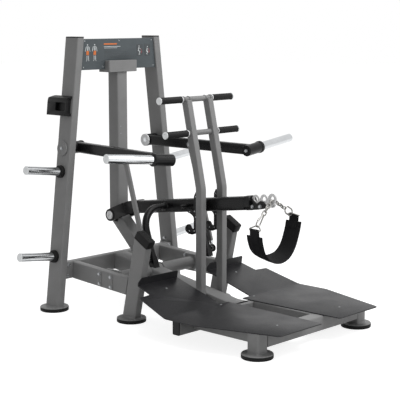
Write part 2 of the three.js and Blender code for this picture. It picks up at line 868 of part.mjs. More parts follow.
function addLever() {
  const group = pivotGroup(leverPivot.y, leverPivot.z);
  const outer = bar(leverPoint(leverRearY), leverPoint(leverFrontY), leverWide, leverTall);
  const innerWide = leverWide - 2 * leverWall;
  const innerTall = leverTall - 2 * leverWall;
  const inner = bar(leverPoint(leverRearY + overrun), leverPoint(leverFrontY - overrun), innerWide, innerTall);
  const noseRear = leverPoint(leverFrontY + 2 * overrun);
  const noseFront = leverPoint(leverFrontY - noseLong);
  const nose = bar(noseRear, noseFront, leverWide + 2 * noseExtra, leverTall + 2 * noseExtra);
  let lever = joined(outer, nose);
  for (const { sign } of sides) {
    const cheekX = sign * (hookThick / 2 + gap + cheekThick / 2);
    const cheekRear = leverPoint(leverFrontY - 2 * overrun, cheekX);
    const cheek = bar(cheekRear, leverPoint(cheekFrontY, cheekX), cheekThick, cheekTall);
    lever = lever.add(toSolid(cheek.translate(0, 0, -cheekDrop)));
    const forkX = sign * (forkInner + forkThick / 2);
    const pivotPoint = [forkX, leverPivot.y, leverPivot.z];
    lever = lever.add(toSolid(bar(pivotPoint, leverPoint(forkFrontY, forkX), forkThick, forkTall)));
    const hubX = [sign * forkInner, sign * (forkInner + forkThick)];
    lever = lever.add(toSolid(rodAlongX(hubX[0], hubX[1], leverPivot.y, leverPivot.z, hubRadius)));
  }
  const forkCrossWide = 2 * forkInner + forkThick;
  const forkCross = bar(leverPoint(leverRearY), leverPoint(forkFrontY + overrun), forkCrossWide, forkTall - overrun);
  const catchBarZ = leverZ(catchBarY);
  const catchBar = rodAlongX(-catchBarHalf, catchBarHalf, catchBarY, catchBarZ, catchBarRadius, smallSides);
  lever = lever.add(toSolid(forkCross));
  const shaftX = forkInner + forkThick + overrun;
  lever = cut(
    lever,
    inner,
    rodAlongX(-shaftX, shaftX, leverPivot.y, leverPivot.z, leverShaftRadius + gap),
    rodAlongX(-leverWide, leverWide, yokeTopY, leverZ(yokeTopY), yokeRadius + gap),
  );
  lever = lever.add(toSolid(catchBar));
  addCarried(group, 'belt_lever', lever, blackPaint);

  let hooks = toSolid(alongX(hookOutline(), -hookThick / 2, hookThick / 2));
  for (let i = 0; i < hookCount; i += 1) {
    const y = hookLastY + i * hookPitch;
    const z = hookEyeZ - hookEyeRise * i * hookPitch;
    hooks = cut(hooks, rodAlongX(-hookThick, hookThick, y, z, hookEyeRadius, smallSides));
  }
  addCarried(group, 'hook_bar', hooks, lightSteel);
  addCarried(group, 'yoke', yokeSolid(), blackPaint);

  const shaftEnd = forkInner + forkThick + gap;
  const shaft = joined(
    rodAlongX(-shaftEnd, shaftEnd, leverPivot.y, leverPivot.z, leverShaftRadius),
    rodAlongX(shaftEnd, shaftEnd + shaftCapThick, leverPivot.y, leverPivot.z, shaftCapRadius),
    rodAlongX(-shaftEnd, -shaftEnd - shaftCapThick, leverPivot.y, leverPivot.z, shaftCapRadius),
  );
  addMesh(machine, 'lever_shaft', shaft, chrome);
}

// The path of the yoke in its own plane: up one leg, across under the lever and down the other leg
function yokePath() {
  const top = new THREE.Vector3(0, yokeTopY, leverZ(yokeTopY));
  const down = new THREE.Vector3(0, yokeFootY - yokeTopY, yokeFootZ - leverZ(yokeTopY));
  const legLong = down.length();
  down.normalize();
  const at = (x, drop) => top.clone().addScaledVector(unit.x, x).addScaledVector(down, drop);
  const path = new THREE.CurvePath();
  const arcSteps = 8;
  const points = [at(-yokeHalf, legLong)];
  for (let i = 0; i <= arcSteps; i += 1) {
    const angle = (Math.PI / 2) * (i / arcSteps);
    points.push(at(-yokeHalf + yokeBend * (1 - Math.cos(angle)), yokeBend * (1 - Math.sin(angle))));
  }
  for (let i = arcSteps; i >= 0; i -= 1) {
    const angle = (Math.PI / 2) * (i / arcSteps);
    points.push(at(yokeHalf - yokeBend * (1 - Math.cos(angle)), yokeBend * (1 - Math.sin(angle))));
  }
  points.push(at(yokeHalf, legLong));
  points.slice(1).forEach((point, i) => path.add(new THREE.LineCurve3(points[i], point)));
  return path;
}

function circleShape(radius, count) {
  const points = Array.from({ length: count }, (unused, i) => {
    const angle = (2 * Math.PI * i) / count;
    return new THREE.Vector2(radius * Math.cos(angle), radius * Math.sin(angle));
  });
  return new THREE.Shape(points);
}

function yokeSolid() {
  const hoop = new THREE.ExtrudeGeometry(circleShape(yokeRadius, yokeSides), {
    steps: yokeSteps,
    extrudePath: yokePath(),
    bevelEnabled: false,
  });
  let solid = toSolid(hoop);
  for (const { sign } of sides) {
    const { y, z } = rodLower;
    const bossEnd = sign * (rodX - rodThick / 2 - gap);
    const headStart = sign * (rodX + rodThick / 2 + gap);
    solid = solid
      .add(toSolid(rodAlongX(sign * yokeBossInner, bossEnd, y, z, yokeBossRadius)))
      .add(toSolid(rodAlongX(sign * yokeHalf, headStart, y, z, rodPinRadius, smallSides)))
      .add(toSolid(rodAlongX(headStart, headStart + sign * pinHeadThick, y, z, pinHeadRadius, smallSides)));
  }
  return solid;
}

// Weight arms with their shafts, horns and link rods

function addArms() {
  for (const { sign, side } of sides) {
    const group = pivotGroup(armPivot.y, armPivot.z);
    const rearPoint = [sign * armPivotX, armPivot.y, armPivot.z];
    const frontPoint = [sign * armFrontX, armFrontY, armFrontZ];
    const share = (armPivot.y - armCavityFrontY) / (armPivot.y - armFrontY);
    const cavityEnd = rearPoint.map((value, i) => value + (frontPoint[i] - value) * share);
    const sleeveStart = new THREE.Vector3(sign * sleeveInner.x, sleeveInner.y, sleeveInner.z);
    const end = new THREE.Vector3(sign * hornEnd.x, hornEnd.y, hornEnd.z);
    const ahead = end.clone().sub(sleeveStart).normalize();
    const sleeveEnd = sleeveStart.clone().addScaledVector(ahead, sleeveLong);
    const hornStart = sleeveEnd.clone().addScaledVector(ahead, gap);

    const armInnerX = armPivotX + (armFrontX - armPivotX) * (rodUpper.y / armFrontY);
    const pinEnd = rodX - rodThick / 2 - gap;
    const bossStart = rodX + rodThick / 2 + gap;
    let arm = cut(
      joined(
        bar(rearPoint, frontPoint, armWide, armTall),
        rodAlongX(sign * armHubInner, sign * armHubOuter, armPivot.y, armPivot.z, armHubRadius),
      ),
      bar(rearPoint, cavityEnd, armWide - 2 * steelWall, armTall - 2 * steelWall),
    );
    const { y, z } = rodUpper;
    arm = arm.add(joined(
      rod(sleeveStart.toArray(), sleeveEnd.toArray(), sleeveRadius),
      rodAlongX(sign * bossStart, sign * armInnerX, y, z, pinHeadRadius, smallSides),
      rodAlongX(sign * pinEnd, sign * armInnerX, y, z, rodPinRadius, smallSides),
      rodAlongX(sign * (pinEnd - pinHeadThick), sign * pinEnd, y, z, pinHeadRadius, smallSides),
    ));
    arm = cut(arm, rodAlongX(0, sign * uprightFootX, armPivot.y, armPivot.z, armShaftRadius + gap));
    addCarried(group, `weight_arm_${side}`, arm, blackPaint);

    const horn = hornGeometry(end.distanceTo(hornStart), hornRadius);
    horn.applyQuaternion(new THREE.Quaternion().setFromUnitVectors(unit.x, ahead));
    horn.translate(hornStart.x, hornStart.y, hornStart.z);
    addCarried(group, `weight_horn_${side}`, horn, chrome);

    addCarried(group, `link_rod_${side}`, linkRod(sign), greyPaint);
    addMesh(machine, `arm_shaft_${side}`, armShaft(sign), chrome);
  }
}

function linkRod(sign) {
  const x = [sign * (rodX - rodThick / 2), sign * (rodX + rodThick / 2)];
  const upper = [sign * rodX, rodUpper.y, rodUpper.z];
  const lower = [sign * rodX, rodLower.y, rodLower.z];
  const body = joined(
    rodAlongX(x[0], x[1], rodUpper.y, rodUpper.z, rodEye),
    rodAlongX(x[0], x[1], rodLower.y, rodLower.z, rodEye),
    bar(lower, upper, rodThick, rodWide),
  );
  return cut(
    body,
    rodAlongX(0, sign * uprightFootX, rodUpper.y, rodUpper.z, rodPinRadius + gap, smallSides),
    rodAlongX(0, sign * uprightFootX, rodLower.y, rodLower.z, rodPinRadius + rodOpenClearance, smallSides),
  );
}

function armShaft(sign) {
  const capInner = armHubInner - gap - armCapThick;
  const outerX = uprightOuterX(armPivot.z) + gap;
  const out = [Math.cos(leanAngle) * sign, 0, Math.sin(leanAngle)];
  const discStart = [sign * outerX, armPivot.y, armPivot.z];
  const discEnd = discStart.map((value, i) => value + out[i] * plateThick);
  return joined(
    rodAlongX(sign * capInner, sign * (outerX + plateThick / 2), armPivot.y, armPivot.z, armShaftRadius),
    rodAlongX(sign * capInner, sign * (capInner + armCapThick), armPivot.y, armPivot.z, armHubRadius),
    rodAlongX(sign * (armHubOuter + gap), sign * armShoulderX, armPivot.y, armPivot.z, armShoulderRadius),
    rod(discStart, discEnd, armDiscRadius),
  );
}

// Handle frame

const handleY = (z) => handlePivot.y + (z > handleBendZ ? (z - handleBendZ) * handleSlope : 0);

function handlePostOutline() {
  const half = handleWide / 2;
  return [
    [handlePivot.y - half, handleLowZ],
    [handlePivot.y + half, handleLowZ],
    [handlePivot.y + half, handleBendZ],
    [handleY(handleTopZ) + half, handleTopZ],
    [handleY(handleTopZ) - half, handleTopZ],
    [handlePivot.y - half, handleBendZ],
  ];
}

function catchHookOutline() {
  const face = handlePivot.y + handleWide / 2 + gap;
  const strip = face + hookPlateDeep;
  const tip = face + hookLobeBack;
  const notch = face + hookNotchBack;
  const points = [
    [face, hookPlateTop],
    [face, hookTops[1] - hookLobeDrop],
    [tip - hookLobeRound, hookTops[1] - hookLobeDrop],
  ];
  for (const top of [...hookTops].reverse()) {
    if (top !== hookTops[1]) {
      points.push([strip, top - hookLobeDrop], [tip - hookLobeRound, top - hookLobeDrop]);
    }
    points.push(
      [tip, top - hookNotchDrop],
      [tip - hookRoundLong, top],
      [notch, top - hookRoundDrop],
      [notch - hookNotchRound, top - hookNotchDrop],
      [strip, top - hookNotchDrop],
    );
  }
  points.push([strip, hookPlateTop - hookPointDrop]);
  return points;
}

function addHandles() {
  const group = pivotGroup(handlePivot.y, handlePivot.z);
  const outline = handlePostOutline();
  const hollow = inset(outline, outline.map((point, i) => (i === 0 ? -overrun : handleWall)));
  const half = handleWide / 2;
  const posts = sides.map(({ sign }) => alongX(outline, sign * (handleX - half), sign * (handleX + half)));
  const bars = barHeights.map((height) => rodAlongX(-barHalf, barHalf, handleY(height), height, barRadius));
  const pin = rodAlongX(-handleX - half, handleX + half, handlePivot.y, handlePivot.z, handlePivotRadius);
  const hollows = sides.map(({ sign }) => {
    const inner = half - handleWall;
    return alongX(hollow, sign * (handleX - inner), sign * (handleX + inner));
  });
  const frame = cut(joined(...posts, ...bars, pin), ...hollows);
  addCarried(group, 'handle_frame', frame, greyPaint);

  const levels = ['upper', 'lower'];
  for (const { sign, side } of sides) {
    barHeights.forEach((height, i) => {
      addCarried(group, `grip_${levels[i]}_${side}`, gripSolid(sign, height), rubber);
    });
    const x = [sign * (hookPlateX - hookPlateThick / 2), sign * (hookPlateX + hookPlateThick / 2)];
    addCarried(group, `catch_hook_${side}`, alongX(catchHookOutline(), x[0], x[1]), blackPaint);
  }
}

function gripSolid(sign, height) {
  const y = handleY(height);
  const inside = barHalf + gap;
  const grip = joined(
    rodAlongX(sign * gripInner, sign * inside, y, height, gripRadius),
    rodAlongX(sign * inside, sign * (inside + gripCapThick), y, height, gripCapRadius),
  );
  return cut(grip, rodAlongX(0, sign * inside, y, height, barRadius + gap));
}

// Belt and chains, which hang from the front eye of the hook bar

function beltEnds() {
  return { left: [-beltHalf, beltLeftZ], right: [beltHalf, beltRightZ] };
}

// The U of the belt seen from the front, as [x, z] points on its middle line
function beltLine() {
  const points = [];
  for (let i = 0; i <= beltSteps; i += 1) {
    const angle = (Math.PI * i) / beltSteps;
    const x = -beltHalf * Math.sign(Math.cos(angle)) * Math.abs(Math.cos(angle)) ** beltCurveShare;
    const endZ = beltLeftZ + (beltRightZ - beltLeftZ) * (i / beltSteps);
    points.push([x, endZ - (endZ - beltLowZ - beltThick / 2) * Math.sin(angle) ** beltCurveShare]);
  }
  return points;
}

function beltSolid() {
  const line = beltLine();
  const outside = [];
  const inside = [];
  line.forEach((point, i) => {
    const before = line[Math.max(i - 1, 0)];
    const after = line[Math.min(i + 1, line.length - 1)];
    const way = new THREE.Vector2(after[0] - before[0], after[1] - before[1]).normalize();
    outside.push([point[0] + (way.y * beltThick) / 2, point[1] - (way.x * beltThick) / 2]);
    inside.push([point[0] - (way.y * beltThick) / 2, point[1] + (way.x * beltThick) / 2]);
  });
  const band = [...outside, ...inside.reverse()];
  const sheet = toSolid(alongY(band, hookLastY - beltWide / 2, hookLastY + beltWide / 2));
  const shoulders = sides.flatMap(({ sign, side }) => {
    const endZ = beltEnds()[side][1];
    const x = [0, sign * (beltHalf + beltThick)].sort((a, b) => a - b);
    return sides.map((edge) => {
      const y = [beltEndWide / 2, beltWide / 2 + overrun].map((half) => hookLastY + edge.sign * half);
      return block(x, y.sort((a, b) => a - b), [endZ - beltEndLong, endZ + beltThick]);
    });
  });
  return cut(sheet, ...shoulders);
}

function addBelt() {
  const group = pivotGroup(hookLastY, ringZ);
  const ends = beltEnds();
  for (const { sign, side } of sides) {
    const end = ends[side];
    const start = [sign * chainTopX, hookLastY, ringZ];
    const run = Math.abs(end[0]) - chainTopX;
    const cornerDrop = (chainSide / 2) * (run / Math.hypot(run, ringZ - end[1]));
    const stop = [end[0], hookLastY, end[1] + gap + cornerDrop];
    const pinEnd = chainTopX + chainSide / 2;
    const pin = rodAlongX(sign * gap, sign * pinEnd, hookLastY, ringZ, ringRadius, smallSides);
    addCarried(group, `chain_${side}`, joined(bar(start, stop, chainSide, chainSide), pin), lightSteel);
  }
  addCarried(group, 'belt', beltSolid(), fabric);
}

addUprights();
addHead();
addCentreColumn();
addBase();
addSpine();
addPlatform();
addDecks();
addFeet();
addStorage();
addHolder();
addLever();
addArms();
addHandles();
addBelt();

// The origin lies under the middle of the machine, between the deck's front edge and the holder's back.
machine.position.y = -(deckFrontY + holderBack) / 2;
const group = new THREE.Group();
group.add(machine);

export default group;
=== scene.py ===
from math import atan, atan2, cos, degrees, hypot, pi, radians, sin, tan

import bmesh
import bpy
from mathutils import Matrix, Vector


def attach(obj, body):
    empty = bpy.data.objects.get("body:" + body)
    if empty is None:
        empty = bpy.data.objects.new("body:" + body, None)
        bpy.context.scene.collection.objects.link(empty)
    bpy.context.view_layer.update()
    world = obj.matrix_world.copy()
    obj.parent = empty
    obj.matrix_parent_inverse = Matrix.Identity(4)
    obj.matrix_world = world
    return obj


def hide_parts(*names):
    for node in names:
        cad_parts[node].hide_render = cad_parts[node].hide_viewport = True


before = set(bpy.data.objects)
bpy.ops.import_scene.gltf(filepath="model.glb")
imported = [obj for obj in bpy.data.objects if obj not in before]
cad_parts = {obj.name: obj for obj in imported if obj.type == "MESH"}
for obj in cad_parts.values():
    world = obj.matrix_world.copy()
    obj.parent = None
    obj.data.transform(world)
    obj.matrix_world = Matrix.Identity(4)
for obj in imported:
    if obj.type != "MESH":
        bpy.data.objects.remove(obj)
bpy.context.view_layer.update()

# Sizes are in millimetres from the machine's own zero: the middle plane, the rear feet line and the floor.
# This matrix takes them to the row's frame, in metres.
rearFeetY = 759.5
toRow = Matrix.Scale(0.001, 4) @ Matrix.Translation((0, rearFeetY, 0))
sides = {"left": -1, "right": 1}

print("scene: camera and light")

camera = {"place": (-4.78875, -4.46275, 1.6979), "turn": -46.71, "pitch": 8.86, "lens": 105.64}

cameraData = bpy.data.cameras.new("photoCamera")
cameraData.lens = camera["lens"]
cameraData.sensor_width = 36
cameraObject = bpy.data.objects.new("photoCamera", cameraData)
cameraObject.location = camera["place"]
cameraObject.rotation_euler = (radians(90 - camera["pitch"]), 0, radians(camera["turn"]))
bpy.context.scene.collection.objects.link(cameraObject)
bpy.context.scene.camera = cameraObject
bpy.context.scene.view_settings.view_transform = "Standard"


def hexColour(text, alpha=1.0):  # sRGB hex to the linear values that nodes take
    parts = [int(text[i:i + 2], 16) / 255 for i in (1, 3, 5)]
    return (*(p / 12.92 if p <= 0.04045 else ((p + 0.055) / 1.055) ** 2.4 for p in parts), alpha)


def addNode(tree, kind, inputs=None, **settings):  # one node, its settings, and its sockets' values or links
    node = tree.nodes.new(kind)
    for key, value in settings.items():
        setattr(node, key, value)
    for key, value in (inputs or {}).items():
        if isinstance(value, bpy.types.NodeSocket):
            tree.links.new(value, node.inputs[key])
        else:
            node.inputs[key].default_value = value
    return node


def worked(tree, operation, *values):  # the result of one math node
    return addNode(tree, "ShaderNodeMath", dict(enumerate(values)), operation=operation).outputs[0]


def emptyTree(owner):
    owner.use_nodes = True
    owner.node_tree.nodes.clear()
    return owner.node_tree


def seenDirectly(tree):  # 1 for what the camera, a mirror or glass looks at
    light = addNode(tree, "ShaderNodeLightPath").outputs
    both = worked(tree, "MAXIMUM", light["Is Camera Ray"], light["Is Glossy Ray"])
    return worked(tree, "MAXIMUM", both, light["Is Transmission Ray"])


studio = {
    "ambient": 0.42,          # what the open studio gives the object from all round
    "floorShare": 0.84,       # how much of the floor's white is its own, so that shadows stay soft
    "lamps": {                # place, aim, size in metres, watts
        "topBox": ((0.9, -1.9, 4.6), (0.0, -0.1, 0.5), 3.4, 170),
        "frontBox": ((2.4, -5.2, 2.9), (0.0, 0.0, 0.7), 2.6, 46),
        "sideBox": ((-5.4, -0.8, 2.4), (0.0, 0.1, 0.8), 2.4, 20),
    },
}

world = bpy.data.worlds.new("studio")
bpy.context.scene.world = world
tree = emptyTree(world)
sky = addNode(tree, "ShaderNodeMix", {"Factor": seenDirectly(tree), 6: (studio["ambient"],) * 3 + (1,),
                                      7: hexColour("#ffffff")}, data_type="RGBA")
background = addNode(tree, "ShaderNodeBackground", {"Color": sky.outputs[2]})
addNode(tree, "ShaderNodeOutputWorld", {"Surface": background.outputs[0]})

for name, (place, aim, size, watts) in studio["lamps"].items():
    lamp = bpy.data.lights.new(name, "AREA")
    lamp.size = size
    lamp.energy = watts
    lampObject = bpy.data.objects.new(name, lamp)
    lampObject.location = place
    lampObject.rotation_euler = (Vector(aim) - Vector(place)).to_track_quat("-Z", "Y").to_euler()
    bpy.context.scene.collection.objects.link(lampObject)

floorMaterial = bpy.data.materials.new("paleStudioFloor")
tree = emptyTree(floorMaterial)
matt = addNode(tree, "ShaderNodeBsdfDiffuse", {"Color": hexColour("#b8b8b8")})
glow = addNode(tree, "ShaderNodeEmission", {"Color": hexColour("#ffffff"), "Strength": studio["floorShare"]})
lit = addNode(tree, "ShaderNodeAddShader", {0: matt.outputs[0], 1: glow.outputs[0]})
bounce = addNode(tree, "ShaderNodeBsdfDiffuse", {"Color": hexColour("#dcdcdc")})
shown = addNode(tree, "ShaderNodeMixShader", {0: seenDirectly(tree), 1: bounce.outputs[0],
                                              2: lit.outputs[0]})
addNode(tree, "ShaderNodeOutputMaterial", {"Surface": shown.outputs[0]})
bpy.ops.mesh.primitive_plane_add(size=60, location=(0, 0, 0))
floor = bpy.context.object
floor.name = "studioFloor"
floor.data.materials.append(floorMaterial)

print("scene: finishes")


def objectNoise(tree, grain, detail=3, rough=0.5):  # grain is the size of one spot, in millimetres
    place = addNode(tree, "ShaderNodeTexCoord").outputs["Object"]
    return addNode(tree, "ShaderNodeTexNoise", {"Vector": place, "Scale": 1000 / grain, "Detail": detail,
                                                "Roughness": rough}).outputs["Fac"]


# Two near colours, a grain that the light catches, and gloss that wanders by the worn patches.
def surfaced(material, tree, share, colours, grain, bump, worn, gloss, more):
    tone = addNode(tree, "ShaderNodeMix", {"Factor": share, 6: hexColour(colours[0]),
                                           7: hexColour(colours[1])}, data_type="RGBA")
    raised = addNode(tree, "ShaderNodeBump", {"Height": grain, "Strength": bump[0], "Distance": bump[1]})
    rough = addNode(tree, "ShaderNodeMapRange", {"Value": worn, "From Min": 0.3, "From Max": 0.7,
                                                 "To Min": gloss[0] - gloss[1],
                                                 "To Max": gloss[0] + gloss[1]})
    shader = addNode(tree, "ShaderNodeBsdfPrincipled",
                     {"Base Color": tone.outputs[2], "Normal": raised.outputs[0],
                      "Roughness": rough.outputs[0], **more})
    addNode(tree, "ShaderNodeOutputMaterial", {"Surface": shader.outputs[0]})
    return material


# A coating or moulding: soft patches and a fine grain.
def coatedFinish(name, colour, second, roughness, grain, bump, patch=90, metallic=0.0, ior=1.5):
    material = bpy.data.materials.new(name)
    tree = emptyTree(material)
    patches = objectNoise(tree, patch, 2)
    fine = objectNoise(tree, grain, 4, 0.6)
    share = addNode(tree, "ShaderNodeMapRange", {"Value": worked(tree, "ADD", patches, fine),
                                                 "From Min": 0.75, "From Max": 1.25})
    return surfaced(material, tree, share.outputs[0], (colour, second), fine, (bump, grain / 1000), patches,
                    (roughness, 0.05), {"Metallic": metallic, "IOR": ior})


# Dense nylon cloth, woven from matt yarns; each raised crossing is painted the lighter colour, a painted
# highlight, and is also raised by the bump.
def wovenCloth(name, colour, second, pitch, roughness):
    material = bpy.data.materials.new(name)
    tree = emptyTree(material)
    place = addNode(tree, "ShaderNodeUVMap", uv_map="cloth").outputs[0]
    parted = addNode(tree, "ShaderNodeSeparateXYZ", {0: place}).outputs
    waves = [worked(tree, "SINE", worked(tree, "MULTIPLY", parted[axis], 2 * pi * 1000 / pitch))
             for axis in ("X", "Y")]
    height = addNode(tree, "ShaderNodeMapRange", {"Value": worked(tree, "MULTIPLY", *waves),
                                                  "From Min": -1.0, "From Max": 1.0}).outputs[0]
    worn = objectNoise(tree, 34, 3)
    # the lighter colour on the raised crossings, in patches, is a painted highlight
    return surfaced(material, tree, worked(tree, "MULTIPLY", height, worn), (colour, second), height,
                    (0.5, 0.0004), worn, (roughness, 0.06), {"IOR": 1.25})


# Grey polyester powder coat, baked on steel: satin, with the faint orange peel that such a coat dries to.
greyPowderCoat = coatedFinish("greyPowderCoat", "#7a7a7a", "#818181", 0.47, 2.2, 0.10, ior=1.35)
# The same coat over a weld: rougher, with the ripples of the bead.
weldedCoat = coatedFinish("weldedCoat", "#727272", "#7d7d7d", 0.50, 3.2, 0.35, patch=30, ior=1.35)
# Black powder coat, glossier and smoother: long soft highlights on the tubes.
blackPowderCoat = coatedFinish("blackPowderCoat", "#0f0f10", "#151516", 0.27, 2.0, 0.08, ior=1.28)
# Deck plates: a sand textured dark coat. The real grit is about 0.4 mm, drawn coarser so that it shows.
sandTexturedCoat = coatedFinish("sandTexturedCoat", "#18181a", "#202022", 0.42, 1.4, 0.22, patch=160,
                                ior=1.33)
# Moulded EPDM rubber: matt, with a light bloom in patches.
mouldedRubber = coatedFinish("mouldedRubber", "#111112", "#191919", 0.62, 1.0, 0.18, patch=40, ior=1.25)
# Foamed grip rubber, softer and a little finer.
gripRubber = coatedFinish("gripRubber", "#101011", "#171717", 0.55, 0.8, 0.2, patch=30, ior=1.28)
# Injection moulded ABS with a spark eroded texture.
mouldedAbs = coatedFinish("mouldedAbs", "#0d0d0e", "#131314", 0.42, 0.9, 0.16, patch=60, ior=1.28)
# Pale nylon pivot caps and rod end balls; the same pale finish draws the rings at the grips' inner ends,
# which are painted highlights.
paleNylonAndHighlight = coatedFinish("paleNylonAndHighlight", "#e2e4e5", "#ececed", 0.42, 1.4, 0.06, patch=20)
# Hard chrome over ground steel bar: mirror bright, with the faintest waviness.
hardChrome = coatedFinish("hardChrome", "#c6c8ca", "#d3d5d7", 0.10, 6.0, 0.02, patch=50, metallic=1.0)
# Turned aluminium end caps: bright, with a fine satin grain.
turnedAluminium = coatedFinish("turnedAluminium", "#c4c6c7", "#d3d5d6", 0.34, 0.8, 0.06, patch=12,
                               metallic=0.6)
# Bright zinc plating on bolts, studs and pins.
zincPlate = coatedFinish("zincPlate", "#8f9193", "#a9abad", 0.30, 1.5, 0.06, patch=9, metallic=1.0)
# Chain steel: zinc plated, a little dulled by handling.
chainSteel = coatedFinish("chainSteel", "#868583", "#a09f9b", 0.28, 1.5, 0.06, patch=9, metallic=1.0)
# Deck screws that were sprayed over with the frame: duller, with the plating half covered.
darkZinc = coatedFinish("darkZinc", "#77797a", "#8d8f90", 0.42, 1.5, 0.08, patch=9, metallic=0.7)
# Light grey enamel on the laser cut hook bar.
lightEnamel = coatedFinish("lightEnamel", "#dadada", "#e2e2e2", 0.40, 1.6, 0.08, patch=40)
# Screen printed aluminium composite: slate ground, satin, and its inks.
slatePrint = coatedFinish("slatePrint", "#4b5154", "#52585b", 0.45, 1.2, 0.05, patch=120, ior=1.3)
orangePrint = coatedFinish("orangePrint", "#c4662a", "#d27233", 0.45, 1.2, 0.04, patch=20)
palePrint = coatedFinish("palePrint", "#b9bdbe", "#c9cdce", 0.45, 1.2, 0.04, patch=20)
redPrint = coatedFinish("redPrint", "#7f3d40", "#8d484a", 0.45, 1.2, 0.04, patch=20)
darkPrint = coatedFinish("darkPrint", "#33383b", "#3a3f42", 0.45, 1.2, 0.04, patch=20)
# Belt: close woven nylon cloth, a coarser webbing for its ends, and bonded sewing thread.
beltCloth = wovenCloth("blackNylonCloth", "#101011", "#1e1e20", 1.6, 0.80)
beltWebbing = wovenCloth("blackNylonWebbing", "#0e0e0f", "#1b1b1d", 2.4, 0.74)
beltThread = coatedFinish("blackBondedThread", "#202022", "#2b2b2d", 0.6, 0.4, 0.2, patch=12)

print("scene: making tools")


def roundedSection(wide, tall, radius, steps=4):  # a tube's outline, with its corner radius
    points = []
    for k, (u, v) in enumerate(((1, 1), (-1, 1), (-1, -1), (1, -1))):
        for step in range(steps + 1):
            angle = pi / 2 * (k + step / steps)
            points.append((u * (wide / 2 - radius) + radius * cos(angle),
                           v * (tall / 2 - radius) + radius * sin(angle)))
    return points


# that outline lying level round a point, grown all round
def levelRing(x, y, z, wide, deep, corner, grow=0.0):
    section = roundedSection(wide + 2 * grow, deep + 2 * grow, corner + grow)
    return [Vector((x + u, y + v, z)) for u, v in section]


def rectangle(lowU, highU, lowV, highV):
    return [(lowU, lowV), (highU, lowV), (highU, highV), (lowU, highV)]


def skin(shape, rows, looped=False):  # faces from each row of corners to the next; a row of one is a point
    for low, high in zip(rows, rows[1:] + rows[:1] if looped else rows[1:]):
        count = max(len(low), len(high))
        for i in range(count):
            j = (i + 1) % count
            corners = (low[i % len(low)], low[j % len(low)], high[j % len(high)], high[i % len(high)])
            corners = list(dict.fromkeys(corners))
            if len(corners) > 2:
                shape.faces.new(corners)


def capped(shape, rows):
    shape.faces.new(rows[0][::-1])
    shape.faces.new(rows[-1])


def outwards(shape):
    bmesh.ops.recalc_face_normals(shape, faces=shape.faces)
    return shape


def loft(rings, finish):  # a closed solid, skinned from one outline to the next
    shape = bmesh.new()
    rows = [[shape.verts.new(p) for p in ring] for ring in rings]
    skin(shape, rows)
    capped(shape, rows)
    return outwards(shape), finish


def beam(start, end, wide, tall, radius, finish, soft=1.2):  # a straight tube with its ends closed
    start, end = Vector(start), Vector(end)
    ahead = (end - start).normalized()
    across = Vector((0, 0, 1)).cross(ahead).normalized()
    rise = ahead.cross(across)
    rings = []
    for place, shrink in ((start, soft), (start + ahead * soft, 0), (end - ahead * soft, 0), (end, soft)):
        section = roundedSection(wide - 2 * shrink, tall - 2 * shrink, radius - shrink)
        rings.append([place + across * u + rise * v for u, v in section])
    return loft(rings, finish)


def box(x, y, z, radius, finish, soft=1.0):  # a block with rounded upright edges, between two corners
    rings = [levelRing(sum(x) / 2, sum(y) / 2, height, x[1] - x[0], y[1] - y[0], radius, -shrink)
             for height, shrink in ((z[0], soft), (z[0] + soft, 0), (z[1] - soft, 0), (z[1], soft))]
    return loft(rings, finish)


def circle(shape, centre, side, other, radius, steps):
    angles = [2 * pi * k / steps for k in range(steps)]
    return [shape.verts.new(centre + (side * cos(a) + other * sin(a)) * radius) for a in angles]


# turns a profile of radius and height round a line
def lathe(profile, start, way, finish, steps=40, ringed=False):
    start, way = Vector(start), Vector(way).normalized()
    side = way.orthogonal().normalized()
    other = way.cross(side)
    shape = bmesh.new()
    rows = [circle(shape, start + way * height, side, other, radius, steps if radius else 1)
            for radius, height in profile]
    skin(shape, rows, ringed)
    return outwards(shape), finish


def collar(start, end, inner, outer, finish, edge=1.0, steps=40):  # a round tube, or a bar where inner is 0
    start, end = Vector(start), Vector(end)
    long = (end - start).length
    profile = [(inner, 0), (outer - edge, 0), (outer, edge), (outer, long - edge), (outer - edge, long),
               (inner, long)]
    return lathe(profile, start, end - start, finish, steps, ringed=inner > 0)


def roundBar(start, end, radius, finish, edge=1.0, steps=40):
    return collar(start, end, 0, radius, finish, edge, steps)


# a round bar along X; place is (y, z)
def crossBar(startX, endX, place, radius, finish, edge=1.0, steps=40):
    return roundBar((startX, *place), (endX, *place), radius, finish, edge, steps)


def sweep(path, radius, finish, steps=20, looped=False):  # a round bar or wire along a line of points
    path = [Vector(p) for p in path]
    last = len(path) - 1
    if looped:
        ways = [(path[(i + 1) % len(path)] - path[i - 1]).normalized() for i in range(len(path))]
    else:
        ways = [(path[min(i + 1, last)] - path[max(i - 1, 0)]).normalized() for i in range(len(path))]
    side = ways[0].orthogonal().normalized()
    shape = bmesh.new()
    rows = []
    for point, way in zip(path, ways):
        side = (side - way * side.dot(way)).normalized()
        rows.append(circle(shape, point, side, way.cross(side), radius, steps))
    skin(shape, rows, looped)
    if not looped:
        capped(shape, rows)
    return outwards(shape), finish


def filleted(points, radii, steps=5):  # rounds the corners of a flat outline
    made = []
    count = len(points)
    for i, point in enumerate(points):
        radius = radii if isinstance(radii, (int, float)) else radii[i]
        here = Vector(point)
        back = Vector(points[i - 1]) - here
        on = Vector(points[(i + 1) % count]) - here
        half = back.angle(on) / 2
        if radius <= 0 or abs(half - pi / 2) < 0.02:
            made.append(tuple(here))
            continue
        reach = min(radius / tan(half), back.length * 0.49, on.length * 0.49)
        start, end = here + back.normalized() * reach, here + on.normalized() * reach
        for k in range(steps + 1):
            t = k / steps
            made.append(tuple(start * (1 - t) ** 2 + here * 2 * t * (1 - t) + end * t ** 2))
    return made


def arc(centre, radius, start, end, steps=12):  # points on a flat arc, in degrees
    angles = [radians(start + (end - start) * k / steps) for k in range(steps + 1)]
    return [(centre[0] + radius * cos(a), centre[1] + radius * sin(a)) for a in angles]


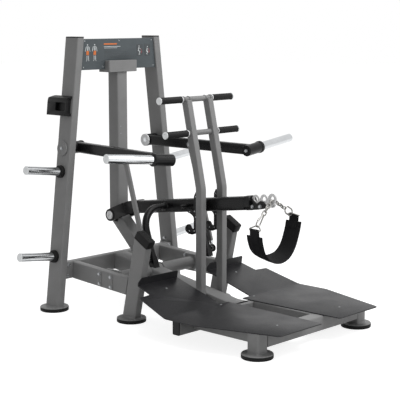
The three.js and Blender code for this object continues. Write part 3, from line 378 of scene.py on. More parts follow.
def softened(points):  # cuts every corner of a closed line at its quarter points
    points = [Vector(p) for p in points]
    pairs = zip(points, points[1:] + points[:1])
    return [here.lerp(after, share) for here, after in pairs for share in (0.25, 0.75)]


def finished(holder):  # the mesh that an object's curve or modifiers give; the object goes
    bpy.context.scene.collection.objects.link(holder)
    bpy.context.view_layer.update()
    mesh = bpy.data.meshes.new_from_object(holder.evaluated_get(bpy.context.evaluated_depsgraph_get()))
    bpy.data.objects.remove(holder)
    return mesh


# How a flat outline and its thickness lie: [y, z] along X, [x, z] along -Y, or [x, y] along Z.
planes = {
    "side": Matrix(((0, 0, 1, 0), (1, 0, 0, 0), (0, 1, 0, 0), (0, 0, 0, 1))),
    "front": Matrix(((1, 0, 0, 0), (0, 0, -1, 0), (0, 1, 0, 0), (0, 0, 0, 1))),
    "top": Matrix.Identity(4),
}


# A plate with holes and rounded edges; middle is where its half thickness lies on its own axis.
def cutPlate(outlines, thick, middle, finish, edge=0.8, plane="side"):
    curve = bpy.data.curves.new("plateOutline", "CURVE")
    curve.dimensions = "2D"
    curve.fill_mode = "BOTH"
    curve.extrude = thick / 2 - edge
    curve.bevel_depth = edge
    curve.bevel_resolution = 1
    curve.offset = -edge
    for outline in outlines:
        line = curve.splines.new("POLY")
        line.points.add(len(outline) - 1)
        for point, (u, v) in zip(line.points, outline):
            point.co = (u, v, 0, 1)
        line.use_cyclic_u = True
    made = finished(bpy.data.objects.new("plateOutline", curve))
    bpy.data.curves.remove(curve)
    shape = bmesh.new()
    shape.from_mesh(made)
    bpy.data.meshes.remove(made)
    bmesh.ops.remove_doubles(shape, verts=shape.verts, dist=0.001)
    bmesh.ops.transform(shape, matrix=planes[plane] @ Matrix.Translation((0, 0, middle)), verts=shape.verts)
    return outwards(shape), finish


def joinedMesh(name, shapes, matrix):
    whole = bmesh.new()
    for shape in shapes:
        part = bpy.data.meshes.new("part")
        shape.to_mesh(part)
        shape.free()
        whole.from_mesh(part)
        bpy.data.meshes.remove(part)
    bmesh.ops.transform(whole, matrix=matrix, verts=whole.verts)
    mesh = bpy.data.meshes.new(name)
    whole.to_mesh(mesh)
    whole.free()
    return mesh


def settled(name, mesh, body, replaced):
    piece = bpy.data.objects.new(name, mesh)
    bpy.context.scene.collection.objects.link(piece)
    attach(piece, body)
    if replaced:
        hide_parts(*replaced)
    return piece


def makePiece(name, parts, replaced=(), body="frame", sharp=32):
    materials = list(dict.fromkeys(finish for shape, finish in parts))
    for shape, finish in parts:
        for face in shape.faces:
            face.material_index = materials.index(finish)
            face.smooth = True
    mesh = joinedMesh(name, [shape for shape, finish in parts], toRow)
    mesh.set_sharp_from_angle(angle=radians(sharp))
    for finish in materials:
        mesh.materials.append(finish)
    return settled(name, mesh, body, replaced)


print("scene: bolts")

boltSizes = {"headAcross": 17, "headTall": 6.5, "washerAcross": 22, "washerThick": 1.8, "sunk": 0.4}
screwProfile = [(0, 1.6), (2.2, 1.6), (2.4, 3.0), (4.6, 2.6), (6.4, 1.2), (6.8, 0), (0, 0)]


def unitObject(name, parts):  # what the trees below copy, modelled in millimetres round the origin
    return bpy.data.objects.new(name, joinedMesh(name, [shape for shape, finish in parts],
                                                 Matrix.Scale(0.001, 4)))


def boltHead():  # a hexagon head with its chamfer, on a washer that stands on Z = 0
    low = boltSizes["washerThick"]
    high = low + boltSizes["headTall"]
    corner = boltSizes["headAcross"] / 2 / cos(pi / 6)
    rings = [[Vector((corner * cos(pi / 3 * k) * share, corner * sin(pi / 3 * k) * share, z))
              for k in range(6)] for share, z in ((1, low), (1, high - 1.2), (0.86, high), (0.5, high),
                                                  (0.45, high - 0.5))]
    washer = roundBar((0, 0, -boltSizes["sunk"]), (0, 0, low), boltSizes["washerAcross"] / 2, None, 0.4, 20)
    return unitObject("boltHead", [loft(rings, None), washer])


# Stands one item on every point with its own axis along the point's way, turned round that axis:
# every second one by Turn, all by Tilt, and each by an angle of its own between Low and High.
def placingTree(name, axis):
    tree = bpy.data.node_groups.new(name, "GeometryNodeTree")
    for socket, kind in {"Geometry": "Geometry", "Item": "Object", "Size": "Float", "Turn": "Float",
                         "Tilt": "Float", "Low": "Float", "High": "Float", "Seed": "Int",
                         "Finish": "Material"}.items():
        tree.interface.new_socket(name=socket, in_out="INPUT", socket_type="NodeSocket" + kind)
    tree.interface.new_socket(name="Geometry", in_out="OUTPUT", socket_type="NodeSocketGeometry")
    given = addNode(tree, "NodeGroupInput").outputs
    item = addNode(tree, "GeometryNodeObjectInfo", {"Object": given["Item"]})
    way = addNode(tree, "GeometryNodeInputNamedAttribute", {"Name": "way"}, data_type="FLOAT_VECTOR")
    lying = addNode(tree, "FunctionNodeAlignRotationToVector", {"Vector": way.outputs[0]}, axis=axis)
    odd = worked(tree, "MODULO", addNode(tree, "GeometryNodeInputIndex").outputs[0], 2.0)
    turn = worked(tree, "MULTIPLY_ADD", odd, given["Turn"], given["Tilt"])
    loose = addNode(tree, "FunctionNodeRandomValue", {2: given["Low"], 3: given["High"],
                                                      "Seed": given["Seed"]}, data_type="FLOAT")
    spin = addNode(tree, "FunctionNodeAxisAngleToRotation",
                   {"Axis": (float(axis == "X"), 0, float(axis == "Z")), "Angle": worked(tree, "ADD", turn,
                                                                                         loose.outputs[1])})
    turned = addNode(tree, "FunctionNodeRotateRotation",
                     {"Rotation": lying.outputs[0], "Rotate By": spin.outputs[0]}, rotation_space="LOCAL")
    placed = addNode(tree, "GeometryNodeInstanceOnPoints", {
        "Points": given["Geometry"], "Instance": item.outputs["Geometry"], "Rotation": turned.outputs[0],
        "Scale": given["Size"]})
    real = addNode(tree, "GeometryNodeRealizeInstances", {0: placed.outputs[0]})
    coated = addNode(tree, "GeometryNodeSetMaterial", {0: real.outputs[0], "Material": given["Finish"]})
    addNode(tree, "NodeGroupOutput", {0: coated.outputs[0]})
    return tree


# spots are (place in mm, way)
def copies(name, spots, tree, values, body, replaced=(), sharp=180):
    source = bpy.data.meshes.new(name + "Spots")
    source.from_pydata([toRow @ Vector(place) for place, way in spots], [], [])
    ways = source.attributes.new("way", "FLOAT_VECTOR", "POINT")
    for i, (place, way) in enumerate(spots):
        ways.data[i].vector = Vector(way).normalized()
    source = bpy.data.objects.new(name + "Source", source)
    modifier = source.modifiers.new("copies", "NODES")
    modifier.node_group = tree
    for item in tree.interface.items_tree:
        if item.in_out == "INPUT" and item.name in values:
            modifier[item.identifier] = values[item.name]
    mesh = finished(source)
    mesh.name = name
    for polygon in mesh.polygons:
        polygon.use_smooth = True
    if sharp < 180:
        mesh.set_sharp_from_angle(angle=radians(sharp))
    return settled(name, mesh, body, replaced)


boltTree = placingTree("fastenersOnPoints", "Z")
rowTree = placingTree("itemsInRow", "X")
boltObject = boltHead()
screwObject = unitObject("screwHead", [lathe(screwProfile, (0, 0, 0), (0, 0, 1), None, 18)])


def fasteners(name, spots, head, size, finish=zincPlate, body="frame"):
    return copies(name, spots, boltTree, {"Item": head, "Size": size, "Low": 0.0, "High": 2 * pi, "Seed": 11,
                                          "Finish": finish}, body, sharp=28)


# turns are (Turn, Tilt)
def itemRow(name, spots, item, size, seed, finish, turns=(0.0, 0.0), replaced=()):
    return copies(name, spots, rowTree, {"Item": item, "Size": size, "Turn": turns[0], "Tilt": turns[1],
                                         "Low": -0.06, "High": 0.06, "Seed": seed, "Finish": finish}, "belt",
                  replaced)


print("scene: uprights and feet")

upright = {"height": 1580, "footX": 490, "topX": 304.5, "wide": 50, "deep": 110, "ahead": 5, "corner": 7,
           "footTop": 25}
foot = {"radius": 82.5, "padTall": 16, "discEdge": 1.8, "weld": 6}
hair = 0.3  # the fine gap that the solids keep where two pieces meet
leanSlope = (upright["footX"] - upright["topX"]) / (upright["height"] - upright["footTop"])
lean = atan(leanSlope)


def uprightX(z):
    return upright["footX"] - leanSlope * (z - upright["footTop"])


# X, a hair clear of the right upright's outer face, or of its inner one with way -1
def uprightFace(z, way=1):
    return uprightX(z) + way * (upright["wide"] / 2 + hair)


def leaningRing(sign, z, grow=0.0):
    return levelRing(sign * uprightX(z), -upright["ahead"], z, upright["wide"], upright["deep"],
                     upright["corner"], grow)


# the disc under a tube and the weld round it; ring gives the tube's outline at a height
def footing(x, y, ring):
    top, weld = upright["footTop"], foot["weld"]
    return [roundBar((x, y, foot["padTall"] + hair), (x, y, top), foot["radius"], greyPowderCoat,
                     foot["discEdge"], 64), loft([ring(top - 0.5, weld), ring(top + 2.2, weld * 0.45),
                                                  ring(top + weld, 0.3)], weldedCoat)]


for side, sign in sides.items():
    tube = loft([leaningRing(sign, z) for z in (upright["footTop"] - 1, 500, 1000, upright["height"])],
                greyPowderCoat)
    makePiece(f"uprightTube_{side}", [tube, *footing(sign * upright["footX"], 0,
                                                     lambda z, grow: leaningRing(sign, z, grow))],
              [f"upright_{side}"])
    top = upright["height"] + hair
    cap = loft([leaningRing(sign, top + lift, grow) for lift, grow in (
        (-14, -3.6), (0, -3.6), (0, -0.4), (0.5, 0), (4.2, 0), (5.6, -1.4), (6, -4))], mouldedAbs)
    makePiece(f"tubeCap_{side}", [cap], [f"upright_cap_{side}"])

midLeg = {"x": 359, "footY": -518, "angle": 12.65, "topY": -616, "wide": 50, "deep": 100, "corner": 8,
          "topAngle": 30}
legRun = tan(radians(midLeg["angle"]))
legHalf = midLeg["deep"] / 2 / cos(radians(midLeg["angle"]))
legTopZ = upright["footTop"] + (midLeg["footY"] - midLeg["topY"]) / legRun
topAngle = radians(midLeg["topAngle"])


def legRing(sign, z, grow=0.0):
    y = midLeg["footY"] - (z - upright["footTop"]) * legRun
    return levelRing(sign * midLeg["x"], y, z, midLeg["wide"], 2 * legHalf, midLeg["corner"], grow)


def legTopPoint(v):  # where the leg's sloped top meets a line of the tube
    slope = 1 + legRun * tan(topAngle)
    y = (midLeg["topY"] * slope + v) / slope
    return y, legTopZ + tan(topAngle) * (y - midLeg["topY"])


for side, sign in sides.items():
    section = roundedSection(midLeg["wide"], 2 * legHalf, midLeg["corner"])
    topRing = [Vector((sign * midLeg["x"] + u, *legTopPoint(v))) for u, v in section]
    tube = loft([legRing(sign, upright["footTop"] - 1), legRing(sign, 300), topRing], greyPowderCoat)
    makePiece(f"legTube_{side}", [tube, *footing(sign * midLeg["x"], midLeg["footY"],
                                                 lambda z, grow: legRing(sign, z, grow))],
              [f"mid_leg_{side}"])

stopBlock = {"long": 110, "thick": 50, "round": 9, "edge": 2.5, "recess": 8.5, "recessShares": (0.27, 0.73)}
blockWay = Vector((0, -cos(topAngle), -sin(topAngle)))
blockUp = Vector((0, -sin(topAngle), cos(topAngle)))
blockSpots = []
for side, sign in sides.items():
    low = Vector((0, *legTopPoint(legHalf))) + blockUp * hair
    along, tall = blockWay * stopBlock["long"], blockUp * stopBlock["thick"]
    outline = filleted([(p.y, p.z) for p in (low, low + along, low + along + tall, low + tall)],
                       [1, 4, stopBlock["round"], stopBlock["round"]])
    parts = [cutPlate([outline], midLeg["wide"], sign * midLeg["x"], mouldedRubber, stopBlock["edge"])]
    for share in stopBlock["recessShares"]:
        seat = Vector((sign * midLeg["x"], 0, 0)) + low + along * share + tall
        parts.append(collar(seat - blockUp, seat + blockUp * 0.6, stopBlock["recess"],
                            stopBlock["recess"] + 3, mouldedRubber, 0.5, 28))
        blockSpots.append((seat - blockUp * 1.2, blockUp))
    makePiece(f"stopPad_{side}", parts, [f"stop_block_{side}"])
fasteners("stopPadScrews", blockSpots, screwObject, 1.0, blackPowderCoat)

# the rubber wraps up round the disc
padProfile = [(0, 0), (77, 0), (81.2, 0.9), (83.2, 3.2), (83.6, 6.2), (82.5, 6.9), (82.5, 8.3), (83.6, 9),
              (83.6, 19.6), (83.1, 20.8), (82.7, 20.8), (82.7, 16), (0, 16)]
feet = {"rear": (upright["footX"], 0), "mid": (midLeg["x"], midLeg["footY"]), "front": (421, -1504.5)}
for place, (x, y) in feet.items():
    for side, sign in sides.items():
        pad = lathe(padProfile, (sign * x, y, 0), (0, 0, 1), mouldedRubber, 72)
        makePiece(f"rubberFoot_{place}_{side}", [pad], [f"foot_pad_{place}_{side}"])

print("scene: head, post and base")

head = {"low": 1442, "high": 1530, "front": -44.7, "deep": 50, "corner": 6}
bracket = {"x": (-113, 113), "y": (-87, 8), "z": (1377, 1445), "corner": 9}


# the end of a beam that meets a leaning upright
def leanEndRing(sign, tube, short=0.0, deep=None, corner=None):
    deep = deep or tube["deep"]
    middle = (tube["low"] + tube["high"]) / 2
    section = roundedSection(deep, tube["high"] - tube["low"], corner or tube["corner"])
    return [Vector((sign * (uprightFace(middle + v, -1) - short), tube["front"] + deep / 2 + u, middle + v))
            for u, v in section]


headBeam = loft([leanEndRing(sign, head) for sign in sides.values()], greyPowderCoat)
makePiece("headFrame", [headBeam, box(bracket["x"], bracket["y"], bracket["z"], bracket["corner"],
                                      greyPowderCoat, 1.6)], ["head_beam"])

post = {"wide": 82, "front": -77, "back": 7, "top": 1376.7, "low": 477, "corner": 9}
# its lower side passes through y, z
strut = {"y": -38, "z": 451.5, "angle": 44, "front": -312, "start": -36}
leverPivot = (-35, 517)
pivotPad = {"inner": 38, "outer": 44.6, "radius": 33}
strutWay = Vector((0, -cos(radians(strut["angle"])), -sin(radians(strut["angle"]))))
strutUp = Vector((0, strutWay.z, -strutWay.y))
spine = {"wide": 100, "rearTall": 100, "fall": 0.1625, "rearY": -46, "rearZ": 281, "corner": 8, "low": 52,
         "top": 132, "middleY": -480, "middleLow": 121, "frontY": -1466, "endY": -1045, "slot": 57.4,
         "railWide": 40, "railLow": 72, "railRear": -1069.3}


def spineTopZ(y):
    return spine["rearZ"] + spine["fall"] * (y - spine["rearY"])


# square to the strut at its start, or cut off by the spine's top
def strutRing(start=None, grow=0.0, lift=0.0):
    section = roundedSection(post["wide"] + 2 * grow, post["wide"] + 2 * grow, post["corner"] + grow)
    axis = Vector((0, strut["y"], strut["z"])) + strutUp * post["wide"] / 2
    ring = []
    for u, v in section:
        p = axis + Vector((u, 0, 0)) + strutUp * v
        drop = (p.z - spineTopZ(p.y) - hair - lift) / (spine["fall"] * strutWay.y - strutWay.z)
        ring.append(p + strutWay * (drop if start is None else start))
    return ring


strutParts = [loft([strutRing(strut["start"]), strutRing(60), strutRing()], greyPowderCoat),
              loft([strutRing(None, 5, 0), strutRing(None, 2, 2.5), strutRing(None, 0.2, 6)], weldedCoat)]
for shape, finish in strutParts:  # the strut's foot is cut square behind the cross pipe
    made = bmesh.ops.bisect_plane(shape, geom=[*shape.verts, *shape.edges, *shape.faces], clear_outer=True,
                                  plane_co=(0, strut["front"], 0), plane_no=(0, -1, 0))
    cutEdges = [item for item in made["geom_cut"] if isinstance(item, bmesh.types.BMEdge)]
    bmesh.ops.edgeloop_fill(shape, edges=cutEdges)
column = loft([levelRing(0, (post["front"] + post["back"]) / 2, z, post["wide"],
                         post["back"] - post["front"], post["corner"])
               for z in (post["low"], post["low"] + 1.5, 900, post["top"])], greyPowderCoat)
pads = [crossBar(sign * pivotPad["inner"], sign * pivotPad["outer"], leverPivot, pivotPad["radius"],
                 greyPowderCoat, 1.5) for sign in sides.values()]
makePiece("centrePost", [column, *strutParts, *pads], ["centre_column"])

rearBeam = {"low": 181, "high": 281, "front": -46, "deep": 50, "corner": 8, "plate": 8, "plateDeep": 90,
            "plateCorner": 5, "plateBolts": (205, 257), "plateBoltY": 26, "tubeBolts": (199, 263),
            "tubeBoltIn": 22, "flangeBolt": (8, 304)}
parts = [loft([leanEndRing(sign, rearBeam, rearBeam["plate"] - 1) for sign in sides.values()],
              greyPowderCoat)]
beamSpots = []
for sign in sides.values():
    parts.append(loft([leanEndRing(sign, rearBeam, short, rearBeam["plateDeep"], rearBeam["plateCorner"])
                       for short in (0, rearBeam["plate"] - 1, rearBeam["plate"])], greyPowderCoat))
    inwards = Vector((-sign * cos(lean), 0, -sin(lean)))
    for z in rearBeam["plateBolts"]:
        beamSpots.append(((sign * (uprightFace(z, -1) - rearBeam["plate"]), rearBeam["plateBoltY"], z),
                          inwards))
    for z in rearBeam["tubeBolts"]:
        x = uprightX(z) - upright["wide"] / 2 - rearBeam["tubeBoltIn"]
        beamSpots.append(((sign * x, rearBeam["front"], z), (0, -1, 0)))
    y, z = rearBeam["flangeBolt"]
    beamSpots.append(((sign * (uprightX(z) - upright["wide"] / 2), y, z), inwards))
makePiece("rearBeamTube", parts, ["rear_beam"])

sideBeam = {"inner": 334, "wide": 50, "fall": 0.0605, "tall": 100, "corner": 8, "rearY": -46.3}
splice = {"thick": 3.2, "half": 17, "short": 5, "corner": 4, "rows": (-281, -375), "bolts": (27, -29)}


def sideBeamZ(y):  # its middle line
    return rearBeam["high"] + sideBeam["fall"] * y - sideBeam["tall"] / 2


def sideBeamRing(sign, y=None):  # square across at a place, or cut off by the mid leg
    ring = []
    for u, v in roundedSection(sideBeam["wide"], sideBeam["tall"], sideBeam["corner"]):
        rise = sideBeamZ(0) - upright["footTop"] + v
        cut = (midLeg["footY"] - rise * legRun + legHalf + hair) / (1 + sideBeam["fall"] * legRun)
        here = cut if y is None else y
        ring.append(Vector((sign * (sideBeam["inner"] + sideBeam["wide"] / 2) + u, here,
                            sideBeamZ(here) + v)))
    return ring


for side, sign in sides.items():
    parts = [loft([sideBeamRing(sign, sideBeam["rearY"]), sideBeamRing(sign, -250), sideBeamRing(sign)],
                  greyPowderCoat)]
    for y in splice["rows"]:
        half = sideBeam["tall"] / 2 - splice["short"]
        outline = filleted(rectangle(y - splice["half"], y + splice["half"], sideBeamZ(y) - half,
                                     sideBeamZ(y) + half), splice["corner"])
        for x, way in ((sideBeam["inner"] + sideBeam["wide"], sign), (sideBeam["inner"], -sign)):
            parts.append(cutPlate([outline], splice["thick"] + 1,
                                  sign * x + way * (splice["thick"] / 2 - 0.5), greyPowderCoat, 0.6))
            for rise in splice["bolts"]:
                beamSpots.append(((sign * x + way * splice["thick"], y, sideBeamZ(y) + rise), (way, 0, 0)))
    makePiece(f"sideBeamTube_{side}", parts, [f"side_beam_{side}"])

pipe = {"radius": 36, "place": (-336, 211), "plate": 104, "deep": 124, "thick": 10, "corner": 9, "boltY": 48,
        "boltZ": 39}
pipeY, pipeZ = pipe["place"]
flange = filleted(rectangle(pipeY - pipe["deep"] / 2, pipeY + pipe["deep"] / 2, pipeZ - pipe["plate"] / 2,
                            pipeZ + pipe["plate"] / 2), pipe["corner"])
pipeBead = [(pipe["radius"] + out, height)
            for out, height in ((-1, -0.5), (5, -0.5), (2.2, 2), (0, 5), (-1, 5))]
for side, sign in sides.items():
    start, end = sign * (spine["wide"] / 2 + hair), sign * (sideBeam["inner"] - hair)
    parts = [crossBar(start, end, pipe["place"], pipe["radius"], greyPowderCoat, 0.5, 64)]
    for k in range(2):  # one plate on the side beam, one on the pipe
        parts.append(cutPlate([flange], pipe["thick"] - 0.4, end - sign * pipe["thick"] * (k + 0.5),
                              greyPowderCoat))
    inner = end - sign * pipe["thick"] * 2
    for x, way in ((start, sign), (inner, -sign)):
        parts.append(lathe(pipeBead, (x, pipeY, pipeZ), (way, 0, 0), weldedCoat, 64, ringed=True))
    for y in (pipeY - pipe["boltY"], pipeY + pipe["boltY"]):
        for z in (pipeZ - pipe["boltZ"], pipeZ + pipe["boltZ"]):
            beamSpots.append(((inner, y, z), (-sign, 0, 0)))
    makePiece(f"crossPipe_{side}", parts, [f"cross_pipe_{side}"])


def spineRing(y, low, high):
    section = roundedSection(spine["wide"], high - low, spine["corner"])
    return [Vector((u, y, (low + high) / 2 + v)) for u, v in section]


rearY = spine["rearY"] - hair
bendY = spine["rearY"] - (spine["rearZ"] - spine["top"]) / spine["fall"]
parts = [loft([spineRing(rearY, spineTopZ(rearY) - spine["rearTall"], spineTopZ(rearY)),
               spineRing(spine["middleY"], spine["middleLow"], spineTopZ(spine["middleY"])),
               spineRing(bendY, spine["low"], spine["top"]),
               spineRing(spine["endY"], spine["low"], spine["top"])], greyPowderCoat)]
# past the cross tube the spine goes on as two rails under the decks' inner edges
for sign in sides.values():
    railX, railZ = sign * (spine["slot"] + spine["railWide"] / 2), (spine["railLow"] + spine["top"]) / 2
    parts.append(beam((railX, spine["railRear"], railZ), (railX, spine["frontY"], railZ), spine["railWide"],
                      spine["top"] - spine["railLow"], spine["corner"] - 2, greyPowderCoat))
parts.append(crossBar(-spine["wide"] / 2, spine["wide"] / 2, pipe["place"], pipe["radius"], greyPowderCoat,
                      0.5, 64))
makePiece("spineTube", parts, ["spine_beam"])
fasteners("beamBolts", beamSpots, boltObject, 0.9)

print("scene: platform")

platform = {"low": 52, "top": 132, "crossFront": -1069, "crossDeep": 50, "crossHalf": 530, "cap": 9,
            "railLow": 72, "railOuter": 432, "railWide": 50, "frontBeam": -1542, "frontDeep": 75.3,
            "postWide": 76, "postCorner": 10, "corner": 7}
crossY, tubeZ = platform["crossFront"] + platform["crossDeep"] / 2, (platform["low"] + platform["top"]) / 2


def platformTube(start, end, wide, low=platform["low"], finish=greyPowderCoat, soft=1.2):
    return beam(start, end, wide, platform["top"] - low, platform["corner"], finish, soft)


parts = [platformTube((-platform["crossHalf"], crossY, tubeZ), (platform["crossHalf"], crossY, tubeZ),
                      platform["crossDeep"])]
for sign in sides.values():
    half = platform["crossHalf"]
    parts.append(platformTube((sign * half, crossY, tubeZ), (sign * (half + platform["cap"]), crossY, tubeZ),
                              platform["crossDeep"], finish=mouldedAbs, soft=2.2))
makePiece("platformCrossTube", parts, ["platform_crossbeam"])

postX, postY = feet["front"]
postHalf = platform["postWide"] / 2
frontHalf, frontY = postX - postHalf - hair, platform["frontBeam"] + platform["frontDeep"] / 2
makePiece("platformFrontTube", [platformTube((-frontHalf, frontY, tubeZ), (frontHalf, frontY, tubeZ),
                                             platform["frontDeep"])], ["front_beam"])
for side, sign in sides.items():
    railX = sign * (platform["railOuter"] - platform["railWide"] / 2)
    railZ = (platform["railLow"] + platform["top"]) / 2
    rail = platformTube((railX, platform["crossFront"] - hair, railZ), (railX, postY, railZ),
                        platform["railWide"], platform["railLow"])
    footPost = box((sign * postX - postHalf, sign * postX + postHalf), (postY - postHalf, postY + postHalf),
                   (upright["footTop"] - 1, platform["top"]), platform["postCorner"], greyPowderCoat, 0.8)
    makePiece(f"platformRail_{side}Tube",
              [rail, footPost, *footing(sign * postX, postY, lambda z, grow: levelRing(
                  sign * postX, postY, z, 2 * postHalf, 2 * postHalf, platform["postCorner"], grow))],
              [f"platform_rail_{side}"])

deck = {"under": 132.3, "thick": 5, "bendY": -985, "rise": 100, "lipY": -645, "lipTall": 46,
        "lipX": (125, 431), "lipLean": -0.142, "lipRound": 6, "bendHalf": 16, "chamfer": 24,
        "outerChamfer": 5, "edge": 0.9, "screws": ((138, -1000), (265, -1504), (290, -730))}
deckPlan = [((75, -1650), 14), ((418, -1650), 26), ((563, -1190), 30), ((563, -985), 8), ((530, -760), 10),
            ((440, -752), 8), ((431, -646), 0), ((125, -646), 0), ((125, -985), 4), ((57, -985), 4)]
rampSlope = deck["rise"] / (deck["lipY"] - deck["bendY"])


def rampZ(y):  # flat, then a rolled bend, then the ramp
    run, soft = y - deck["bendY"], deck["bendHalf"]
    if run <= -soft:
        return 0.0
    return rampSlope * (run + soft) ** 2 / (4 * soft) if run < soft else rampSlope * run


# The lip is the sheet's rear edge, turned up on a small radius and leaning forward over the ramp.
lipRound = deck["lipRound"]
rampWay, lipWay = Vector((0, 1, rampSlope)).normalized(), Vector((0, deck["lipLean"], 1)).normalized()
turn = Vector((0, deck["lipY"] - lipRound, deck["under"] + rampZ(deck["lipY"] - lipRound)))
outer, inner = [], []
for k in range(9):
    t = k / 8
    way = (rampWay * (1 - t) + lipWay * t).normalized()
    outer.append(turn + rampWay * lipRound * (2 * t * (1 - t) + t * t) + lipWay * lipRound * t * t)
    inner.append(outer[-1] + Vector((0, -way.z, way.y)) * deck["thick"])
deckSpots = []
for side, sign in sides.items():
    outline = filleted([(sign * x, y) for (x, y), radius in deckPlan],
                       [radius for point, radius in deckPlan])
    sheet, finish = cutPlate([outline], deck["thick"], deck["under"] + deck["thick"] / 2, sandTexturedCoat,
                             deck["edge"], "top")
    for step in range(-4, 5):
        line = Vector((0, deck["bendY"] + deck["bendHalf"] * step / 4, 0))
        bmesh.ops.bisect_plane(sheet, geom=[*sheet.verts, *sheet.edges, *sheet.faces], plane_co=line,
                               plane_no=(0, 1, 0))
    for vertex in sheet.verts:
        vertex.co.z += rampZ(vertex.co.y)
    lowX, highX = sorted(sign * x for x in deck["lipX"])
    rings = []
    for x, cutDown in ((lowX, deck["chamfer"]), (lowX + deck["chamfer"], 0),
                       (highX - deck["outerChamfer"], 0), (highX, deck["outerChamfer"])):
        end = outer[-1] + lipWay * (deck["lipTall"] - lipRound - cutDown)
        back = end + Vector((0, -lipWay.z, lipWay.y)) * deck["thick"]
        rings.append([Vector((x, *p.yz)) for p in (*outer, end, back, *reversed(inner))])
    makePiece(f"deckSheet_{side}", [(sheet, finish), loft(rings, sandTexturedCoat)], [f"deck_plate_{side}"])
    for x, y in deck["screws"]:
        top = deck["under"] + deck["thick"] - 0.4 + rampZ(y)
        deckSpots.append(((sign * x, y, top), (0, 0, 1) if y < deck["bendY"] else (0, -rampSlope, 1)))
fasteners("deckScrews", deckSpots, screwObject, 0.95, darkZinc)

print("scene: storage horns, holder and sign")

storage = {"heights": {"upper": 811, "lower": 318}, "long": 262, "radius": 25, "collar": 36.5,
           "collarLong": 20, "cap": 5}


def plateHorn(start, way, long):  # a chromed bar with a chamfer and a pressed in end cap
    radius, tall = storage["radius"], storage["cap"]
    low = long - tall
    body = [(0, 0), (radius, 0), (radius, low - 0.5), (radius - 1, low), (0, low)]
    cap = [(0, -8), (radius - 3, -8), (radius - 3, 0), (radius - 0.4, 0.2), (radius - 0.2, 1.6),
           (radius - 3.4, tall), (7, tall), (5.5, tall - 1), (0, tall - 1)]
    return [lathe(body, start, way, hardChrome, 64), lathe(cap, start + way * low, way, turnedAluminium, 64)]


collarBore, collarOut, collarLong = storage["radius"] + hair, storage["collar"], storage["collarLong"]
collarProfile = [(collarBore, 0), (collarOut - 1, 0), (collarOut, 1), (collarOut, collarLong * 0.42),
                 (collarOut - 1.6, collarLong * 0.5), (collarOut - 1.6, collarLong * 0.56),
                 (collarOut - 0.4, collarLong * 0.64), (collarOut - 0.6, collarLong - 3),
                 (collarOut - 3, collarLong), (collarBore, collarLong)]
for side, sign in sides.items():
    out = Vector((sign * cos(lean), 0, sin(lean)))
    for level, z in storage["heights"].items():
        start = Vector((sign * uprightFace(z), 0, z))
        makePiece(f"storageBar_{level}_{side}", plateHorn(start, out, storage["long"]),
                  [f"storage_horn_{level}_{side}"])
        makePiece(f"rubberCollar_{level}_{side}",
                  [lathe(collarProfile, start, out, mouldedRubber, 64, ringed=True)],
                  [f"storage_collar_{level}_{side}"])

holder = {"z": 1190, "tall": 118, "front": -50, "back": 131, "deep": 32, "round": 39, "step": 9, "lip": 15,
          "pocket": (-30, 56, -31, 17), "pocketCorner": 7, "backThick": 10, "crown": 15}
holderPlace = Matrix.Translation((-uprightFace(holder["z"]), 0, holder["z"])) @ Matrix.Rotation(lean, 4, "Y")
half, lip, inset = holder["tall"] / 2, holder["lip"], holder["front"] + holder["step"]
shell = [(holder["front"], -half), (holder["back"], -half)]
shell += arc((holder["back"] - holder["round"], half - holder["round"]), holder["round"], 0, 90)
shell += [(holder["front"], half), (holder["front"], half - lip), (inset, half - lip - 5),
          (inset, lip + 5 - half), (holder["front"], lip - half)]
pocket = filleted(rectangle(*holder["pocket"]), holder["pocketCorner"])
pocketTall = holder["deep"] - holder["backThick"]
parts = []
for outlines, thick, x in (([shell], holder["backThick"] + 1, -holder["backThick"] / 2 - 0.5),
                           ([shell, pocket], pocketTall, -holder["backThick"] - pocketTall / 2)):
    shape, finish = cutPlate(outlines, thick, x, mouldedAbs, 1.6)
    for vertex in shape.verts:  # the top falls away towards the outer face
        vertex.co.z = min(vertex.co.z, half + vertex.co.x * holder["crown"] / holder["deep"])
    bmesh.ops.transform(shape, matrix=holderPlace, verts=shape.verts)
    parts.append((shape, finish))
makePiece("holderShell", parts, ["holder"])
screwPlaces = ((holder["back"] - 14, 14 - half), (holder["back"] - 14, 12),
               (holder["front"] + 24, 9 - half))
facing = holderPlace.to_3x3() @ Vector((-1, 0, 0))
holderSpots = [(holderPlace @ Vector((0.2 - holder["deep"], y, z)), facing) for y, z in screwPlaces]
fasteners("holderScrews", holderSpots, screwObject, 0.62, mouldedAbs)

board = {"low": 1394, "high": 1573, "front": -50, "thick": 5, "notchHalf": 113.3, "notchTop": 1445.3,
         "round": 5, "ink": 0.5, "screws": ((-282, 1408), (-128, 1408), (282, 1408), (128, 1408),
                                            (-268, 1560), (268, 1560), (0, 1560)),
         "postScrews": ((-18, 1053), (-18, 1009))}
low, high, notch = board["low"], board["high"], board["notchHalf"]
lowEdge, highEdge = uprightFace(low, -1) - 1, uprightFace(high, -1) - 1
panel = [(-lowEdge, low), (-notch, low), (-notch, board["notchTop"]), (notch, board["notchTop"]),
         (notch, low), (lowEdge, low), (highEdge, high), (-highEdge, high)]
parts = [cutPlate([filleted(panel, board["round"])], board["thick"], -board["front"] - board["thick"] / 2,
                  slatePrint, 0.5, "front")]


def printed(outline, finish, layer=0):  # ink on the panel, thick enough to be a shape of its own
    thick = board["ink"] + 0.12 * layer
    return cutPlate([outline], thick, thick / 2 - board["front"] - 0.1, finish, 0.08, "front")


